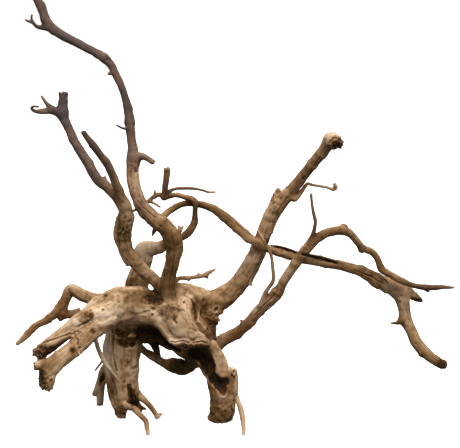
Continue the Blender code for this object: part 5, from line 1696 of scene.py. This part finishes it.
def fibre_tree() -> bpy.types.NodeTree:
    """Builds the Geometry Nodes tree that grows one curled, tapered fibre on each root point."""
    tree = bpy.data.node_groups.new("grow_fibres", "GeometryNodeTree")
    new_socket = tree.interface.new_socket
    new_socket("Geometry", in_out="INPUT", socket_type="NodeSocketGeometry")
    for title, kind, value in (
        ("Bends", "NodeSocketInt", 9), ("Sides", "NodeSocketInt", 5), ("Curl", "NodeSocketFloat", 0.0015),
        ("Curl Size", "NodeSocketFloat", 260.0), ("Seed", "NodeSocketInt", 3),
    ):
        new_socket(title, in_out="INPUT", socket_type=kind).default_value = value
    new_socket("Finish", in_out="INPUT", socket_type="NodeSocketMaterial")
    new_socket("Geometry", in_out="OUTPUT", socket_type="NodeSocketGeometry")
    sheet = NodeSheet(tree)
    given, end = sheet.add("NodeGroupInput").outputs, sheet.add("NodeGroupOutput")
    made = sheet.socket
    line = made("GeometryNodeCurvePrimitiveLine", "Curve", {"End": (0.0, 0.0, 1.0)})
    line = made("GeometryNodeResampleCurve", "Curve", {"Curve": line, "Count": given["Bends"]})
    along = made("GeometryNodeSplineParameter", "Factor")
    stored = {"Geometry": line, "Name": "along", "Value": along}
    line = made("GeometryNodeStoreNamedAttribute", "Geometry", stored, data_type="FLOAT", domain="POINT")
    thinner = {"Curve": line, "Radius": sheet.scaled(along, -0.72, 1.0)}
    line = made("GeometryNodeSetCurveRadius", "Curve", thinner)
    ring = made("GeometryNodeCurvePrimitiveCircle", "Curve", {"Resolution": given["Sides"], "Radius": 1.0})
    outline = {"Curve": line, "Profile Curve": ring, "Fill Caps": True}
    tube = made("GeometryNodeCurveToMesh", "Mesh", outline)
    points = made("GeometryNodeMeshToPoints", "Points", {"Mesh": given["Geometry"]})
    aim = {"Vector": sheet.named("aim", "FLOAT_VECTOR")}
    turned = made("FunctionNodeAlignRotationToVector", "Rotation", aim, axis="Z")
    girth = sheet.named("girth")
    size = made("ShaderNodeCombineXYZ", "Vector", {"X": girth, "Y": girth, "Z": sheet.named("reach")})
    placed = {"Points": points, "Instance": tube, "Rotation": turned, "Scale": size}
    grown = made("GeometryNodeInstanceOnPoints", "Instances", placed)
    real = made("GeometryNodeRealizeInstances", "Geometry", {"Geometry": grown})
    where = made("GeometryNodeInputPosition", "Position")
    waves = {"Vector": where, "W": given["Seed"], "Scale": given["Curl Size"]}
    wave = made("ShaderNodeTexNoise", "Color", waves, noise_dimensions="4D")
    centred = made("ShaderNodeVectorMath", 0, {0: wave, 1: (0.5, 0.5, 0.5)}, operation="SUBTRACT")
    curl = sheet.maths("MULTIPLY", sheet.named("along"), given["Curl"])
    strength = sheet.maths("MULTIPLY", curl, 4.0)
    shift = made("ShaderNodeVectorMath", 0, {0: centred, "Scale": strength}, operation="SCALE")
    curled = made("GeometryNodeSetPosition", "Geometry", {"Geometry": real, "Offset": shift})
    dressed = made("GeometryNodeSetMaterial", "Geometry", {"Geometry": curled, "Material": given["Finish"]})
    sheet.fill(end, {"Geometry": dressed})
    return tree


@dataclass(frozen=True)
class Tuft:
    """An oval patch of fibres on the side that faces the viewer; sizes in millimetres, flow in degrees."""

    across: float
    up: float
    half_width: float
    half_height: float
    count: int
    length: float
    thickness: float
    flow: float
    spread: float
    lift: float
    pale: float


TUFTS = (
    Tuft(1, 126, 10, 3.6, 60, 6.5, 0.24, -80, 70, 0.16, 1.0),
    Tuft(-3, 121, 7, 3, 22, 5.0, 0.22, -60, 80, 0.14, 0.8),
    Tuft(-99, 100, 5, 3, 10, 6.0, 0.30, -70, 50, 0.25, 1.1),
    Tuft(-132, 80, 5, 6, 9, 2.4, 0.34, 205, 30, 0.4, 0.6),
    Tuft(168, 290, 5, 6, 14, 3.4, 0.30, -20, 60, 0.7, 0.4),
    Tuft(106, 240, 6, 6, 10, 3.4, 0.30, 110, 40, 0.3, 0.8),
    Tuft(-13, 84, 4, 5, 7, 3.0, 0.30, -80, 50, 0.4, 0.4),
    Tuft(42, 102, 6, 6, 8, 3.2, 0.30, -70, 50, 0.4, 0.4),
    Tuft(-107, 341, 4, 2, 8, 2.2, 0.30, 90, 40, 0.4, 0.7),
)


@dataclass
class FibrePatches:
    """The fine rootlets at the tall stem's foot and the torn fibres at the broken places.

    curl and sunk are in millimetres, and sunk is how far below the skin a fibre starts.
    """

    bends: int = 9
    sides: int = 5
    curl: float = 1.5
    sunk: float = 0.4
    seed: int = 23

    def build(self, skin: bpy.types.Object, finish: bpy.types.Material) -> bpy.types.Object:
        """Grows the fibres.

        Args:
            skin: The finished skin that they grow on.
            finish: Their material.

        Returns:
            The fibres as one plain mesh object.
        """
        seeds = linked(bpy.data.objects.new("wood_fibres", self.root_points(skin)))
        grow = seeds.modifiers.new("grow", "NODES")
        grow.node_group = fibre_tree()
        items = grow.node_group.interface.items_tree
        names = {item.name: item.identifier for item in items if item.in_out == "INPUT"}
        values = {"Bends": self.bends, "Sides": self.sides, "Curl": self.curl * MM, "Seed": self.seed}
        for title, value in {**values, "Finish": finish}.items():
            grow[names[title]] = value
        settle(seeds)
        smooth(seeds.data)
        return seeds

    def root_points(self, skin: bpy.types.Object) -> bpy.types.Mesh:
        """Places the fibres' starts on the skin, with their aim, reach and girth."""
        random = np.random.default_rng(self.seed)
        tree = face_tree(skin.data)
        starts = []
        values = {"aim": [], "reach": [], "girth": [], "pale": []}
        for tuft in TUFTS:
            for _ in range(tuft.count):
                angle, size = random.uniform(0, 2 * math.pi), math.sqrt(random.uniform())
                across = tuft.across + tuft.half_width * size * math.cos(angle)
                up = tuft.up + tuft.half_height * size * math.sin(angle)
                flow = math.radians(tuft.flow + random.normal() * tuft.spread)
                reach, girth = random.uniform(0.5, 1.2), random.uniform(0.7, 1.3)
                pale = tuft.pale * random.uniform(0.4, 1.1)
                spot, normal = sight_hit(tree, across, up)
                if spot is None:
                    continue
                outward = np.array(normal)
                lying = math.cos(flow) * np.array([1.0, 0.0, 0.0]) + math.sin(flow) * SHEET_UP
                lying -= (lying @ outward) * outward
                aim = lying / max(np.linalg.norm(lying), 1e-6) + tuft.lift * outward
                starts.append(tuple(np.array(spot) - outward * self.sunk * MM))
                values["aim"].append(aim / np.linalg.norm(aim))
                values["reach"].append(reach * tuft.length * MM)
                values["girth"].append(girth * tuft.thickness * MM)
                values["pale"].append(pale)
        mesh = bpy.data.meshes.new("fibre_starts")
        mesh.from_pydata(starts, [], [])
        for name, rows in values.items():
            keep_values(mesh, name, np.array(rows))
        return mesh


@dataclass
class Studio:
    """A plain pale floor, soft light and the camera at the photograph's angle.

    Sizes and places are in metres, power is in watts and the sensor's width in millimetres. Each light is
    its name, place, size and share of the key light's power.
    """

    floor_size: float = 40.0
    floor_white: tuple = (0.93, 0.93, 0.93, 1.0)
    bounce: float = 0.20
    glow: float = 0.72
    sky: float = 0.34
    key_power: float = 108.0
    aim_height: float = 0.18
    sensor: float = 36.0
    lights: tuple = (
        ("key_light", (0.1, -1.3, 2.9), 2.0, 1.0),
        ("side_light", (2.3, -0.6, 1.6), 1.4, 0.12),
        ("back_light", (-0.5, 1.9, 2.6), 1.8, 0.42),
    )

    def build(self) -> None:
        """Makes the floor, lights, sky and camera."""
        self.lay_floor()
        for light in self.lights:
            self.hang(*light)
        self.fill_sky()
        self.set_camera()

    def lay_floor(self) -> None:
        """Lays the floor the root stands on."""
        half = self.floor_size / 2
        corners = [(-half, -half, 0), (half, -half, 0), (half, half, 0), (-half, half, 0)]
        mesh = bpy.data.meshes.new("floor")
        mesh.from_pydata(corners, [], [(0, 1, 2, 3)])
        floor = linked(bpy.data.objects.new("floor", mesh))
        pale = bpy.data.materials.new("pale_floor")
        pale.use_nodes = True
        sheet = NodeSheet(pale.node_tree)
        seen = sheet.socket("ShaderNodeLightPath", "Is Camera Ray")
        sheet.fill(pale.node_tree.nodes["Principled BSDF"], {
            "Base Color": sheet.blended(seen, (self.bounce,) * 3 + (1.0,), self.floor_white),
            "Roughness": 0.9,
            "Emission Color": (1.0, 1.0, 1.0, 1.0),
            "Emission Strength": sheet.scaled(seen, self.glow),
        })
        mesh.materials.append(pale)

    def hang(self, name: str, where: tuple, size: float, share: float) -> None:
        """Hangs one square light that faces the root, with a share of the key light's power."""
        data = bpy.data.lights.new(name, "AREA")
        data.size = size
        data.energy = self.key_power * share
        light = linked(bpy.data.objects.new(name, data))
        light.location = where
        facing = Vector((0.0, 0.0, self.aim_height)) - light.location
        light.rotation_euler = facing.to_track_quat("-Z", "Y").to_euler()

    def fill_sky(self) -> None:
        """Fills the shadows with an even white sky."""
        world = bpy.data.worlds.new("studio_sky")
        world.use_nodes = True
        sheet = NodeSheet(world.node_tree)
        seen = sheet.socket("ShaderNodeLightPath", "Is Camera Ray")
        strength = sheet.scaled(seen, 1.0 - self.sky, self.sky)
        back = world.node_tree.nodes["Background"]
        sheet.fill(back, {"Color": (1.0, 1.0, 1.0, 1.0), "Strength": strength})
        bpy.context.scene.world = world
        bpy.context.scene.view_settings.view_transform = "Standard"

    def set_camera(self) -> None:
        """Sets the camera where the drawing is seen from, framed as the photograph."""
        data = bpy.data.cameras.new("camera")
        data.sensor_width = self.sensor
        data.lens = self.sensor * VIEW_DISTANCE / PHOTO_WIDTH
        data.shift_x = (PHOTO_WIDTH / 2 - ZERO_PIXEL_X - CENTRE_ACROSS) / PHOTO_WIDTH
        data.shift_y = (ZERO_PIXEL_Y - CENTRE_UP - PHOTO_HEIGHT / 2) / PHOTO_WIDTH
        camera = linked(bpy.data.objects.new("camera", data))
        camera.location = Vector((EYE - PART_ORIGIN) * MM)
        camera.rotation_euler = Vector(SIGHT).to_track_quat("-Z", "Y").to_euler()
        bpy.context.scene.camera = camera


def attach(piece: bpy.types.Object) -> None:
    """Lets a finished piece ride on the root."""
    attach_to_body(piece, BODY)


def main() -> None:
    """Builds the root's skin and its small pieces, dresses them and sets up the studio."""
    logging.basicConfig(level=logging.INFO, format="%(message)s")
    grain, weather = lengthwise_grain(), weather_blotch()
    wood = WashedWood().material(grain, weather)
    skin = RootSkin().build()
    skin.data.materials.clear()
    skin.data.materials.append(wood)
    attach(skin)
    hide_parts(NODE)
    fibres = FibrePatches().build(skin, DryFibre().material(weather))
    attach(fibres)
    for piece in (skin, fibres):
        piece.data.calc_loop_triangles()
        logging.info("%s: %d triangles", piece.name, len(piece.data.loop_triangles))
    Studio().build()


if __name__ == "__main__":
    main()
